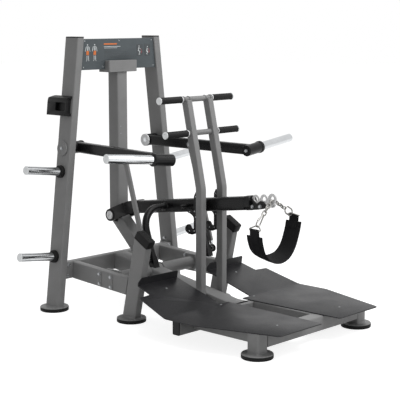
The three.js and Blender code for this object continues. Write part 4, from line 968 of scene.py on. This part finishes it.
def strokes(x, z, lines, layer=0, layers=1):  # lines with round ends: start, end, half width and ink
    made = []
    for i, (a, b, radius, finish) in enumerate(lines):
        angle = degrees(atan2(b[1] - a[1], b[0] - a[0]))
        outline = arc((x + b[0], z + b[1]), radius, angle - 90, angle + 90, 8)
        outline += arc((x + a[0], z + a[1]), radius, angle + 90, angle + 270, 8)
        made.append(printed(outline, finish, layer + i % layers))
    return made


def bothSides(a, b, radius, finish):
    return [((way * a[0], a[1]), (way * b[0], b[1]), radius, finish) for way in sides.values()]


figure = [((0, 60), (0, 60.1), 4.6, palePrint), ((-8, 49), (8, 49), 1.7, palePrint),
          *bothSides((6, 44), (3, 28), 1.5, palePrint), ((0, 46), (0, 30), 1.5, palePrint),
          *bothSides((13, 47), (18, 24), 1.8, palePrint), *bothSides((4.6, 22), (5, 5), 4.6, orangePrint),
          *bothSides((5.6, -4), (6.2, -26), 2.2, palePrint), *bothSides((7, -31), (10, -31), 1.6, palePrint)]
for x in (-248, -193):  # plain standing pictograms, with the worked part of the body in orange
    parts += strokes(x, 1478, figure, 0, 3)
for x, knee in ((168, 0), (232, 5)):  # plain side view pictograms beside a red block, on a darker tile
    hip, bend, ankle = (-10 + knee, -2 - knee), (4 + knee * 0.4, -8), (-4, -24)
    crouch = [((-4 + knee, 25 - knee), (-4 + knee, 25.1 - knee), 3.6, palePrint),
              ((-6 + knee, 16 - knee), hip, 2.8, palePrint), (hip, bend, 2.6, palePrint),
              (bend, ankle, 2.2, palePrint), (ankle, (3, -26), 1.6, palePrint),
              ((-4 + knee, 14 - knee), (8, 8 - knee), 1.5, palePrint), ((14, -20), (15, 4), 1.8, redPrint),
              ((15, 4), (9, 9), 1.6, redPrint), ((14, -20), (20, -6), 1.8, redPrint)]
    parts.append(printed(filleted(rectangle(x - 24, x + 26, 1466, 1536), 5), darkPrint))
    parts += strokes(x, 1500, crouch, 1, 2)
textRows = [(-22, 1541, 4.2, orangePrint), (10, 1526, 1.5, palePrint), (-16, 1518, 1.2, palePrint)]
textRows += [(end, 1506 - 7.5 * row, 1.3, darkPrint)
             for row, end in enumerate((-20, 60, -8, 96, 40, 112, 20))]
parts += strokes(0, 0, [((-118, z), (end, z), tall, finish) for end, z, tall, finish in textRows])
makePiece("signBoard", parts, ["sign_panel"])
signSpots = [((x, board["front"] + 0.2, z), (0, -1, 0)) for x, z in board["screws"]]
signSpots += [((x, post["front"], z), (0, -1, 0)) for x, z in board["postScrews"]]
fasteners("signScrews", signSpots, screwObject, 0.62)

print("scene: lever, hook bar and yoke")

lever = {"fall": 0.135, "lineY": -198, "lineZ": 577, "wide": 70, "tall": 75, "corner": 14, "rearY": -200,
         "frontY": -1066, "nose": 42, "noseExtra": 3, "noseCorner": 30, "cheekInner": 5, "cheekThick": 12,
         "forkInner": 45, "forkThick": 30, "forkWay": (-128, 63), "hub": 38, "ring": (28, 36.5),
         "ringThick": 5.5, "catchY": -652, "catchRadius": 9, "catchHalf": 95,
         "cheekBolts": ((-1116, 681), (-1173, 687))}
leverWay = Vector((0, -1, lever["fall"])).normalized()
leverUp = Vector((0, lever["fall"], 1)).normalized()


def leverPoint(y, x=0.0):  # on the lever's middle line
    return Vector((x, y, lever["lineZ"] + lever["fall"] * (lever["lineY"] - y)))


nose = leverPoint(lever["frontY"] - lever["nose"])
parts = [beam(leverPoint(lever["rearY"]), leverPoint(lever["frontY"] - 2), lever["wide"], lever["tall"],
              lever["corner"], blackPowderCoat, soft=2),
         beam(leverPoint(lever["frontY"] - 1), nose, lever["wide"] + 2 * lever["noseExtra"],
              lever["tall"] + 2 * lever["noseExtra"], lever["noseCorner"], blackPowderCoat, soft=4)]
# ahead of and above the nose's middle
cheekPlan = [(-14, 16), (8, 16), (22, 6), (37, -9), (50, 2), (66, 9), (84, 3), (97, -14), (97, -26),
             (82, -35), (44, -38), (-14, -39)]
cheek = filleted([(nose + leverWay * ahead + leverUp * up).yz for ahead, up in cheekPlan], 9)
forkFront = [(-188, 541), (-148, 605)]  # the fork's front edge, where the tapered block begins
forkAngle = degrees(atan2(lever["forkWay"][1], lever["forkWay"][0]))
fork = filleted([*arc(leverPivot, lever["hub"], forkAngle - 270, forkAngle - 90, 16), *reversed(forkFront)],
                [0] * 17 + [5, 5])
forkHalf = lever["forkInner"] + lever["forkThick"]
leverSpots = []
for sign in sides.values():
    inner = lever["cheekInner"] + hair
    parts.append(cutPlate([cheek], lever["cheekThick"], sign * (inner + lever["cheekThick"] / 2),
                          blackPowderCoat, 1.5))
    for place in lever["cheekBolts"]:
        leverSpots.append(((sign * (inner + lever["cheekThick"]), *place), (sign, 0, 0)))
    parts.append(cutPlate([fork], lever["forkThick"], sign * (forkHalf - lever["forkThick"] / 2),
                          blackPowderCoat, 2.4))
    start = sign * (forkHalf - 1)
    parts.append(collar((start, *leverPivot), (start + sign * lever["ringThick"], *leverPivot),
                        *lever["ring"], blackPowderCoat, 1.5, 48))
(lowY, lowZ), (highY, highZ) = forkFront
frontUp = Vector((0, highY - lowY, highZ - lowZ)).normalized()
# middle, width, height, upright way
blockPlan = [((lowY + 16, (lowZ + highZ) / 2 - 4), 2 * forkHalf - 6, 70, frontUp),
             (((lowY + highY) / 2, (lowZ + highZ) / 2), 2 * forkHalf - 2, 73, frontUp),
             ((-196, 580), 2 * forkHalf - 14, 78, (frontUp + leverUp).normalized()),
             ((-230, 583), lever["wide"] + 1, lever["tall"] + 1, leverUp)]
parts.append(loft([[Vector((u, *middle)) + up * v for u, v in roundedSection(wide, tall, 7)]
                   for middle, wide, tall, up in blockPlan], blackPowderCoat))
parts.append(crossBar(-lever["catchHalf"], lever["catchHalf"], leverPoint(lever["catchY"]).yz,
                      lever["catchRadius"], blackPowderCoat, 1.5, 32))
makePiece("leverArm", parts, ["belt_lever"], "lever")

hooks = {"thick": 10, "pitch": 57.5, "lastY": -1246, "eyeZ": 736.5, "rise": 0.13, "eye": 12.4, "hump": 26,
         "frontHump": 28.5, "drop": 46, "pin": (-1259, 698), "pinRadius": 3, "pinOut": 1.6}
hookRearY = lever["frontY"] - lever["nose"] - lever["fall"] * (lever["tall"] / 2 + lever["noseExtra"]) - hair
outline = [(hookRearY, hooks["eyeZ"] - hooks["rise"] * hooks["pitch"] * 3)]
eyes = []
for i, hump, end in ((2, hooks["hump"], 174), (1, hooks["hump"], 174), (0, hooks["frontHump"], 186)):
    middle = hooks["lastY"] + i * hooks["pitch"], hooks["eyeZ"] - hooks["rise"] * i * hooks["pitch"]
    outline += arc(middle, hump, 6, end, 18)
    eyes.append(arc(middle, hooks["eye"], 0, 352.5, 47))
lugLow = hooks["eyeZ"] - hooks["drop"]
outline += filleted([(hooks["lastY"] - hooks["frontHump"] + 2, lugLow + 22),
                     (hooks["lastY"] - 12, lugLow - 3), (hookRearY, lugLow - 6)], [16, 20, 0])
pinHalf = hooks["thick"] / 2 + hooks["pinOut"]
makePiece("hookPlate", [cutPlate([outline, *eyes], hooks["thick"], 0, lightEnamel, 1.6),
                        crossBar(-pinHalf, pinHalf, hooks["pin"], hooks["pinRadius"], zincPlate, 0.8, 24)],
          ["hook_bar"], "lever")

yoke = {"radius": 21, "topY": -466, "half": 223, "bend": 120, "foot": (-570, 298), "pin": (-556, 336),
        "boss": 11.5, "bossInner": 197, "bush": 13, "footLong": 110}
rod = {"x": 272, "thick": 16, "pin": 8, "start": 44, "radius": 23, "ball": 17, "bore": 11.6,
       "jointThick": 15, "stud": 8, "nut": 13.5, "nutTall": 10, "eye": 22, "half": 15, "hole": 8.4}
rodInner, rodOuter = rod["x"] - rod["thick"] / 2 - hair, rod["x"] + rod["thick"] / 2 + hair
yokeTop = leverPoint(yoke["topY"])
yokeWay = Vector((0, *yoke["foot"])) - yokeTop
legLong = yokeWay.length
yokeWay.normalize()
yokeAcross = Vector((0, -yokeWay.z, yokeWay.y))


def yokePoint(x, drop):
    return yokeTop + Vector((x, 0, 0)) + yokeWay * drop


half, bend = yoke["half"], yoke["bend"]
straight = legLong - yoke["footLong"] - bend
path = [(-half, bend + straight * (6 - k) / 6) for k in range(6)]
path += arc((bend - half, bend), bend, 180, 270, 16) + arc((half - bend, bend), bend, 270, 360, 16)
path += [(half, bend + straight * k / 6) for k in range(1, 7)]
parts = [sweep([yokePoint(*place) for place in path], yoke["radius"], blackPowderCoat, 28)]
seam = [(yoke["radius"] + out, height) for out, height in ((-2, -1), (5, -1), (3, 2), (-0.5, 6), (-2, 6))]
for sign in sides.values():
    rings = []  # the tube's end is pressed square round the pin
    for share, corner in ((0, 1.0), (0.25, 0.97), (0.55, 0.55), (0.8, 0.3), (1, 0.24)):
        middle = yokePoint(sign * half, legLong - yoke["footLong"] * (1 - share))
        section = roundedSection(2 * yoke["radius"], 2 * yoke["radius"] + 4 * share,
                                 yoke["radius"] * corner - 0.01, 6)
        rings.append([middle + Vector((u, 0, 0)) + yokeAcross * v for u, v in section])
    rings[-1] = [Vector((*p.xy, yoke["foot"][1])) for p in rings[-1]]
    seamStart = leverPoint(yoke["topY"], sign * (lever["wide"] / 2 - 0.5))
    parts += [
        loft(rings, blackPowderCoat),
        crossBar(sign * half, sign * rodInner, yoke["pin"], yoke["boss"], blackPowderCoat, 2, 48),
        crossBar(sign * half, sign * rodOuter, yoke["pin"], rod["pin"], zincPlate, 0.5, 24),
        crossBar(sign * yoke["bossInner"], sign * half, yoke["pin"], yoke["bush"], blackPowderCoat, 1, 32),
        lathe(seam, seamStart, (sign, 0, 0), blackPowderCoat, 40, ringed=True),
    ]
    leverSpots += [((sign * rodOuter, *yoke["pin"]), (sign, 0, 0)),
                   ((sign * yoke["bossInner"], *yoke["pin"]), (-sign, 0, 0))]
makePiece("yokeHoop", parts, ["yoke"], "lever")
fasteners("leverBolts", leverSpots, boltObject, 1.0, body="lever")

shaftEnd = forkHalf + hair
dimple = [(0, 0), (25.4, 0), (26, 1), (26, 3.4), (24.4, 5), (10, 5), (7.5, 1.4), (0, 1.2)]
parts = [crossBar(-shaftEnd, shaftEnd, leverPivot, 20, hardChrome, 1, 40)]
parts += [lathe(dimple, (sign * shaftEnd, *leverPivot), (sign, 0, 0), paleNylonAndHighlight, 48)
          for sign in sides.values()]
makePiece("leverShaft", parts, ["lever_shaft"])

print("scene: weight arms")

arm = {"pivot": (0, 945), "pivotX": 289, "front": (356, -788, 936), "wide": 50, "tall": 62, "corner": 12,
       "hub": 38, "hubInner": 262, "hubOuter": 344, "shaft": 16, "cap": 7, "disc": 43, "shoulder": 27,
       "sleeve": 33, "sleeveInner": (305, -791, 933), "sleeveLong": 140, "hornEnd": (751, -750, 975),
       "rodUpper": (-373, 942), "pinHead": 15}
hub, sleeve, cap, disc, pivotZ = arm["hub"], arm["sleeve"], arm["cap"], arm["disc"], arm["pivot"][1]
hubProfile = [(17, 0), (34, 0), (hub, 3), (hub, 7), (hub - 2, 9), (hub - 2, 73), (hub, 75), (hub, 79),
              (34, 82), (17, 82)]
sleeveProfile = [(0, 0.6), (sleeve - 6, 0.6), (sleeve - 5, 0), (sleeve - 1.6, 0), (sleeve - 0.4, 1.6),
                 (sleeve - 0.4, 121), (sleeve + 2.6, 122.5), (sleeve + 3, 137), (sleeve, 140), (0, 140)]
capProfile = [(0, 0), (hub - 1, 0), (hub, 1), (hub, cap - 2), (hub - 2, cap), (9, cap), (7, cap - 1.6),
              (0, cap - 2)]
discProfile = [(0, 0), (disc - 1, 0), (disc, 1), (disc, 6), (disc - 1.8, 8), (0, 8)]
capFace = arm["hubInner"] - hair
outerX, shoulderX = uprightFace(pivotZ), uprightFace(pivotZ + arm["shoulder"], -1)
faceX = arm["pivotX"] + (arm["front"][0] - arm["pivotX"]) * arm["rodUpper"][0] / arm["front"][1]

lower, upper = Vector((0, *yoke["pin"])), Vector((0, *arm["rodUpper"]))
rodWay = (upper - lower).normalized()
rodSide = Vector((0, -rodWay.z, rodWay.y))
opening = degrees(atan2(rod["half"], (rod["eye"] ** 2 - rod["half"] ** 2) ** 0.5))
base = degrees(atan2(rodWay.z, rodWay.y))
flat = arc(upper.yz, rod["eye"], base - 180 + opening, base + 180 - opening, 28)
flat += [(lower + rodWay * rod["start"] + rodSide * rod["half"] * edge).yz for edge in (1, -1)]
hole = arc(upper.yz, rod["hole"], 0, 345, 23)
nutProfile = [(0, 0), (rod["nut"], 0), (rod["nut"], rod["nutTall"]), (0, rod["nutTall"])]
ball, bore, jointHalf = rod["ball"], rod["bore"], rod["jointThick"] / 2
ballProfile = [(bore, -jointHalf), (ball - 1.8, -jointHalf), (ball - 0.1, 3 - jointHalf),
               (ball - 0.1, jointHalf - 3), (ball - 1.8, jointHalf), (bore, jointHalf)]


def mirrored(sign, x, y, z):
    return Vector((sign * x, y, z))


for side, sign in sides.items():
    sleeveStart, hornEnd = mirrored(sign, *arm["sleeveInner"]), mirrored(sign, *arm["hornEnd"])
    ahead = (hornEnd - sleeveStart).normalized()
    hornStart = sleeveStart + ahead * (arm["sleeveLong"] + hair)
    makePiece(f"weightArmTube_{side}", [
        beam(mirrored(sign, arm["pivotX"], *arm["pivot"]), mirrored(sign, *arm["front"]), arm["wide"],
             arm["tall"], arm["corner"], blackPowderCoat, soft=2),
        lathe(hubProfile, (sign * arm["hubInner"], *arm["pivot"]), (sign, 0, 0), blackPowderCoat, 64,
              ringed=True),
        lathe(sleeveProfile, sleeveStart, ahead, blackPowderCoat, 64),
        crossBar(sign * rodOuter, sign * faceX, arm["rodUpper"], arm["pinHead"], blackPowderCoat, 1, 36),
        crossBar(sign * rodInner, sign * faceX, arm["rodUpper"], rod["pin"], zincPlate, 0.5, 24),
    ], [f"weight_arm_{side}"], f"arm_{side}")
    makePiece(f"weightBar_{side}", plateHorn(hornStart, ahead, (hornEnd - hornStart).length),
              [f"weight_horn_{side}"], f"arm_{side}")
    fasteners(f"armBolts_{side}", [((sign * (rodInner - 0.4), *arm["rodUpper"]), (-sign, 0, 0)),
                                   (sleeveStart - ahead * 0.4, -ahead)], boltObject, 0.95,
              body=f"arm_{side}")

    out = Vector((sign * cos(lean), 0, sin(lean)))
    outer = mirrored(sign, outerX, *arm["pivot"])
    makePiece(f"armPivotShaft_{side}", [
        crossBar(sign * (capFace - cap), sign * (outerX + 4), arm["pivot"], arm["shaft"], hardChrome,
                 0.6, 40),
        lathe(capProfile, (sign * capFace, *arm["pivot"]), (-sign, 0, 0), paleNylonAndHighlight, 64),
        crossBar(sign * (arm["hubOuter"] + hair), sign * shoulderX, arm["pivot"], arm["shoulder"],
                 greyPowderCoat, 1, 48),
        lathe(discProfile, outer, out, greyPowderCoat, 64),
    ], [f"arm_shaft_{side}"])
    fasteners(f"armPivotBolts_{side}", [(outer + out * 7.6, out)], boltObject, 0.95)

    seat, halfJoint = lower + Vector((sign * rod["x"], 0, 0)), Vector((jointHalf, 0, 0))
    makePiece(f"linkBar_{side}", [
        cutPlate([flat, hole], rod["thick"], sign * rod["x"], greyPowderCoat, 2.4),
        roundBar(seat + rodWay * (rod["radius"] - 4), seat + rodWay * (rod["start"] + 2), rod["stud"],
                 zincPlate, 0.5, 28),
        lathe(nutProfile, seat + rodWay * (rod["start"] - rod["nutTall"] - 1), rodWay, zincPlate, 6),
        collar(seat - halfJoint, seat + halfJoint, ball, rod["radius"], blackPowderCoat, 1.6, 56),
        lathe(ballProfile, seat, (1, 0, 0), paleNylonAndHighlight, 40, ringed=True),
    ], [f"link_rod_{side}"], f"rod_{side}")

print("scene: handle frame")

handle = {"pivot": (-790, 118), "pin": 12, "x": 86, "wide": 40, "deep": 45, "corner": 4, "rear": 13,
          "lowZ": 92, "bendZ": 754, "bendHalf": 14, "topZ": 1243, "slope": 0.222, "bar": 15.5,
          "barHalf": 289, "gripInner": 124, "grip": 19, "ribs": 60, "cap": 20.5, "capThick": 6,
          "bars": {"upper": (1245, 0), "lower": (1060, -5)}}


def handleY(z):
    return handle["pivot"][0] + max(z - handle["bendZ"], 0) * handle["slope"]


def handleRing(sign, z):  # the bend is eased over its height
    soft = handle["bendHalf"]
    ease = handle["slope"] * max(0.0, soft - abs(z - handle["bendZ"])) ** 2 / (4 * soft)
    return levelRing(sign * handle["x"], handleY(z) + ease + handle["rear"] - handle["deep"] / 2, z,
                     handle["wide"], handle["deep"], handle["corner"])


rows = [handle["lowZ"], *(handle["bendZ"] + handle["bendHalf"] * k / 2 for k in range(-2, 3)),
        handle["topZ"]]
parts = [loft([handleRing(sign, z) for z in rows], greyPowderCoat) for sign in sides.values()]
barPlaces = {level: (handleY(z) + ahead, z) for level, (z, ahead) in handle["bars"].items()}  # y and z
bar, barHalf = handle["bar"], handle["barHalf"]
barBead = [(bar - 1, -1), (bar + 3.4, -1), (bar + 1.6, 1.4), (bar - 0.2, 3.4), (bar - 1, 3.4)]
for place in barPlaces.values():
    parts.append(crossBar(-barHalf, barHalf, place, bar, greyPowderCoat, 1, 48))
    for sign in sides.values():
        for edge in (-1, 1):
            parts.append(lathe(barBead, (sign * handle["x"] + edge * handle["wide"] / 2, *place),
                               (edge, 0, 0), weldedCoat, 40, ringed=True))
pinHalf = handle["x"] + handle["wide"] / 2
parts.append(crossBar(-pinHalf, pinHalf, handle["pivot"], handle["pin"], zincPlate, 1, 32))
makePiece("handlePosts", parts, ["handle_frame"], "handle")

inside, bore, outer = barHalf + hair, bar + hair, handle["grip"]
gripLong = inside - handle["gripInner"]
# a pale ring at each grip's inner end: a painted highlight where light catches the grip's end
paleHighlightRing = [(bore, -4.5), (outer + 0.6, -4.5), (outer + 1.6, -3.4), (outer + 1.6, -0.8), (outer + 0.6, 0.4),
             (bore, 0.4)]
grip = [(bore, 0)]
rib = (gripLong - 2.4) / handle["ribs"]
for k in range(handle["ribs"]):  # fine ribs moulded round the grip
    grip += [(outer - 0.35, 0.8 + (k + 0.1) * rib), (outer, 0.8 + (k + 0.3) * rib),
             (outer, 0.8 + (k + 0.8) * rib)]
grip += [(outer - 0.5, gripLong - 0.6), (bore, gripLong)]
cap, tall = handle["cap"], handle["capThick"]
gripCap = [(0, -3), (bore, -3), (outer + 0.4, 0), (cap, 0.8), (cap, tall - 1.6), (cap - 1.6, tall),
           (9, tall), (7.4, tall - 1.4), (0, tall - 1.6)]
for side, sign in sides.items():
    for level, place in barPlaces.items():
        start, way = (sign * handle["gripInner"], *place), (sign, 0, 0)
        makePiece(f"rubberGrip_{level}_{side}", [
            lathe(paleHighlightRing, start, way, paleNylonAndHighlight, 48, ringed=True),
            lathe(grip, start, way, gripRubber, 40, ringed=True),
            lathe(gripCap, (sign * inside, *place), way, turnedAluminium, 48),
        ], [f"grip_{level}_{side}"], "handle")

catch = {"x": 83, "thick": 10, "topZ": 731, "strip": -745, "screw": 0.62,
         "screws": ((-760, 706), (-760, 591), (-751, 622), (-713, 616), (-749, 510), (-712, 506))}
face = handle["pivot"][0] + handle["rear"] + hair
lowerHook = [(-765, 499), (-734, 487), (-702, 488), (-680, 503), (-676, 520), (-692, 542), (-714, 543),
             (-727, 522), (-744, 519)]
upperHook = [(catch["strip"], 588), (-724, 603), (-699, 610), (-689, 622), (-696, 629), (-722, 629),
             (-734, 620), (catch["strip"], 634)]
radii = [0, 3, *[16] * len(lowerHook), 22, 16, 12, 8, 6, 10, 8, 8, 14, 4]
outline = filleted([(face, catch["topZ"]), (face, 499), *lowerHook, *upperHook, (catch["strip"], 706),
                    (-758, catch["topZ"])], radii)
catchSpots = []
for side, sign in sides.items():
    x = sign * catch["x"]
    makePiece(f"catchPlate_{side}", [cutPlate([outline], catch["thick"], x, blackPowderCoat, 1.4)],
              [f"catch_hook_{side}"], "handle")
    for edge in (-1, 1):
        catchSpots += [((x + edge * catch["thick"] / 2, *place), (edge, 0, 0)) for place in catch["screws"]]
fasteners("catchBolts", catchSpots, screwObject, catch["screw"], body="handle")

print("scene: belt and chains")

belt = {"thick": 12, "wide": 108, "endWide": 57, "endLong": 38, "border": 10, "webThick": 3.2, "steps": 260,
        "y": -1246, "askew": 0.30, "lowX": 10, "askewHalf": 165, "tuck": 76}
# the first and last of these only steer
beltRoute = [(-153, 636), (-148, 590), (-146, 543), (-137, 507), (-115, 460), (-66, 419), (8, 404),
             (74, 414), (112, 439), (140, 475), (160, 520), (173, 557), (181, 592), (185, 632), (186, 672)]
# how finely the middle line is measured, and over how much its way is taken
fine = {"points": 2000, "reach": 24}


def beltCurve(t):  # a smooth line through the route, with t from 0 at the left end to 1 at the right
    spans = len(beltRoute) - 3
    k = min(int(t * spans), spans - 1)
    u = t * spans - k
    a, b, c, d = (Vector(p) for p in beltRoute[k:k + 4])
    twice = 2 * b + (c - a) * u + (2 * a - 5 * b + 4 * c - d) * u ** 2 + (3 * b - a - 3 * c + d) * u ** 3
    return 0.5 * twice


raw = [beltCurve(k / fine["points"]) for k in range(fine["points"] + 1)]
runs = [0.0]
for a, b in zip(raw, raw[1:]):
    runs.append(runs[-1] + (b - a).length)
beltLong = runs[-1]


def beltAt(run):  # place and direction on the belt's middle line, by its length in millimetres
    run, last = min(max(run, 0.0), beltLong), fine["points"]
    k = min(max(next((i for i, r in enumerate(runs) if r >= run), last), 1), last)
    share = (run - runs[k - 1]) / max(runs[k] - runs[k - 1], 1e-9)
    way = (raw[min(k + fine["reach"], last)] - raw[max(k - fine["reach"], 0)]).normalized()
    return raw[k - 1].lerp(raw[k], share), way


def beltOut(way):  # square to the belt's face
    return Vector((way.y, -way.x))


def beltTilt(place, y):  # the band hangs a little askew: along the bottom its rear edge sits higher
    x, z = place
    share = max(0.0, 1 - (abs(x - belt["lowX"]) / belt["askewHalf"]) ** 1.5)
    return Vector((x, belt["y"] + y, z + belt["askew"] * share * y))


def clothLoft(stations, finish):  # stations are (place [x, z], way [x, z], run, outline [(y, out)])
    shape = bmesh.new()
    cloth = shape.loops.layers.uv.new("cloth")
    rows, across = [], []
    for place, way, run, outline in stations:
        rows.append([shape.verts.new(beltTilt(place + beltOut(way) * t, y)) for y, t in outline])
        lengths = [0.0]
        for a, b in zip(outline, outline[1:] + outline[:1]):
            lengths.append(lengths[-1] + hypot(b[0] - a[0], b[1] - a[1]))
        across.append(lengths)
    count = len(rows[0])
    for i in range(len(rows) - 1):
        for j in range(count):
            k = (j + 1) % count
            face = shape.faces.new((rows[i][j], rows[i][k], rows[i + 1][k], rows[i + 1][j]))
            for loop, (r, c) in zip(face.loops, ((i, j), (i, j + 1), (i + 1, j + 1), (i + 1, j))):
                loop[cloth].uv = (across[r][c] / 1000, stations[r][2] / 1000)
    for ring, i in ((rows[0][::-1], 0), (rows[-1], -1)):
        for loop in shape.faces.new(ring).loops:
            loop[cloth].uv = ((loop.vert.co.y - belt["y"]) / 1000, stations[i][2] / 1000)
    return outwards(shape), finish


def padOutline(half, full, edge):  # a padded band's section: a bound border, a sewn groove, then the crown
    shape = []
    inner = half - belt["border"]
    for t in (-1, 1):
        for k in range(41):
            y = (-1 + 2 * k / 40) * half * -t
            rise = min(1.0, max(0.0, (inner - abs(y)) / (inner * 0.55)))
            high = full * 0.5 if abs(y) > inner else full * (0.42 + 0.58 * (1 - (1 - rise) ** 2.2))
            if abs(y) > half - 2.5:
                high *= max(0.25, (1 - ((abs(y) - half + 2.5) / 2.5) ** 2)) ** 0.5
            groove = 0.9 * max(0.0, 1 - abs(abs(y) - inner) / 2.4)
            shape.append((y, t * (high - groove) * edge))
    return shape


padStart, padEnd = belt["endLong"], beltLong - belt["endLong"]
stations = []
for k in range(belt["steps"] + 1):
    run = padStart + (padEnd - padStart) * k / belt["steps"]
    near = min(run - padStart, padEnd - run)
    edge = (0.55 + 0.45 * min(1.0, near / 16) ** 0.6) * (0.7 + 0.15 * near if near < 2 else 1)
    half = belt["wide"] / 2 - 1.4 * sin(pi * (run - padStart) / (padEnd - padStart))
    stations.append((*beltAt(run), run, padOutline(half, belt["thick"] / 2, edge)))
padBand = makePiece("beltPad", [clothLoft(stations, beltCloth)], ["belt"], "belt", sharp=50)


def webOutline(wide, thick):  # woven tape with rolled edges
    half = wide / 2
    top = [(-half, 0), (-half + 0.5, 0.36 * thick), (-half + 1.6, thick / 2)]
    top += [(-half + 1.6 + (wide - 3.2) * k / 10, thick / 2) for k in range(1, 11)]
    top += [(half - 0.5, 0.36 * thick), (half, 0)]
    return top + [(y, -t) for y, t in reversed(top[1:-1])]


def tape(path, wide, thick, finish):  # a strap along a line of [x, z] points
    stations, run = [], 0.0
    for i, point in enumerate(path):
        run += (point - path[i - 1]).length if i else 0
        way = (path[min(i + 1, len(path) - 1)] - path[max(i - 1, 0)]).normalized()
        stations.append((point, way, run, webOutline(wide, thick)))
    return clothLoft(stations, finish)


def fromEnd(side, run):
    return beltAt(run if side == "left" else beltLong - run)


ringBar = 3.6
fold = ringBar + belt["webThick"] / 2 + 0.2  # how far the folded strap's middle lies from the ring's
straps, foldPlaces = [], {}
for side, sign in sides.items():
    outerPath, innerPath = [], []
    for k in range(12):
        run = belt["tuck"] - k * (belt["tuck"] - fold - 1.0) / 11
        place, way = fromEnd(side, run)
        clear = fold + min(1.0, max(0.0, run - belt["endLong"] + 2) / 8) * 2.2
        outerPath.append(place + beltOut(way) * clear)
        innerPath.append(place - beltOut(way) * clear)
    centre, way = fromEnd(side, fold + 1.0)
    bend = [centre + beltOut(way) * fold * cos(radians(a)) + way * sign * fold * sin(radians(a))
            for a in range(15, 180, 15)]
    straps.append(tape(outerPath + bend + innerPath[::-1], belt["endWide"], belt["webThick"], beltWebbing))
    foldPlaces[side] = centre
makePiece("beltEndStraps", straps, body="belt", sharp=50)

stitchProfile = [(0, -1.7), (0.34, -1.5), (0.5, -0.6), (0.5, 0.6), (0.34, 1.5), (0, 1.7)]
stitchObject = unitObject("stitch", [lathe(stitchProfile, (0, 0, 0), (1, 0, 0), None, 6)])
stitches = {"pitch": 4.4, "inset": 7.4, "ends": 6, "lift": belt["thick"] / 4 - 0.05}
spots = []
for k in range(int((padEnd - padStart - 2 * stitches["ends"]) / stitches["pitch"])):
    place, way = beltAt(padStart + stitches["ends"] + (k + 0.5) * stitches["pitch"])
    for lift in (-stitches["lift"], stitches["lift"]):
        for edge in (-1, 1):
            y = edge * (belt["wide"] / 2 - stitches["inset"])
            spots.append((beltTilt(place + beltOut(way) * lift, y), (way.x, 0, way.y)))
itemRow("beltStitches", spots, stitchObject, 1.0, 5, beltThread)

link = {"wire": 3.7, "long": 37, "wide": 26, "pitch": 23}


def stadium(long, wide, wire, steps=10):  # the middle line of an oblong ring, long along X
    run = (long - wide) / 2
    radius = wide / 2 - wire
    ends = arc((run, 0), radius, -90, 90, steps) + arc((-run, 0), radius, 90, 270, steps)
    return [(x, y, 0) for x, y in ends]


linkObject = unitObject("chainLink", [sweep(stadium(link["long"], link["wide"], link["wire"]), link["wire"],
                                            None, 12, looped=True)])
chain = {"eyeX": 10, "eyeZ": 726, "apex": 27, "hookLong": 80, "ringLong": 74, "ringWide": 46, "wire": 4}
# the ring that the strap folds over: along Y, and towards the hook bar
triangle = [(-34, 0), (0, 0), (34, 0), (39, 4), (37, 9), (12, 26), (5, 29), (0, 30), (-5, 29), (-12, 26),
            (-37, 9), (-39, 4)]
# the snap hook, from the ring on
pear = [(-3, 0), (2, -9), (10, -14), (20, -15), (40, -11.5), (58, -8), (70, -6.5), (75, -3.5), (76.5, 0),
        (75, 3.5), (70, 6.5), (58, 8), (40, 11.5), (20, 15), (10, 14), (2, 9)]
for side, sign in sides.items():
    low = Vector((foldPlaces[side].x, belt["y"], foldPlaces[side].y))
    top = Vector((sign * chain["eyeX"], belt["y"], chain["eyeZ"]))
    way = (top - low).normalized()
    across = way.cross(Vector((0, 1, 0)))
    apex, wire = low + way * chain["apex"], chain["wire"]
    ring = softened([low + Vector((0, y, 0)) + way * ahead for y, ahead in triangle])
    parts = [sweep(ring, ringBar, chainSteel, 14, looped=True)]
    if side == "left":  # a pear shaped snap hook, with its gate on the outer side
        start = apex + way * (chain["hookLong"] - 4)
        loop = softened([apex + way * (u + 0.5) + across * v for u, v in pear])
        parts.append(sweep(loop, wire, chainSteel, 16, looped=True))
        parts.append(roundBar(apex + way * 26 + across * 14.2, apex + way * 46 + across * 10.6, wire + 1.4,
                              chainSteel, 0.8, 24))
    else:  # an oblong carabiner
        long = chain["ringLong"]
        start = apex + way * (long - 9)
        loop = [apex + way * (x + long / 2 - 2 * wire - 1) + across * y
                for x, y, _ in stadium(long, chain["ringWide"], wire, 14)]
        parts.append(sweep(loop, wire, chainSteel, 16, looped=True))
    makePiece(f"beltRings_{side}", parts, body="belt")
    span = (top - start).length
    number = max(3, round(span / link["pitch"]))
    spots = [(start + way * span * (k + 0.5) / number, way) for k in range(number)]
    itemRow(f"chainLinks_{side}", spots, linkObject, span / number / link["pitch"], 4, chainSteel,
            (pi / 2, 0.5), [f"chain_{side}"])
itemRow("chainEyeLink", [((0, belt["y"], chain["eyeZ"]), (1, 0, 0))], linkObject, 1.1, 2, chainSteel)
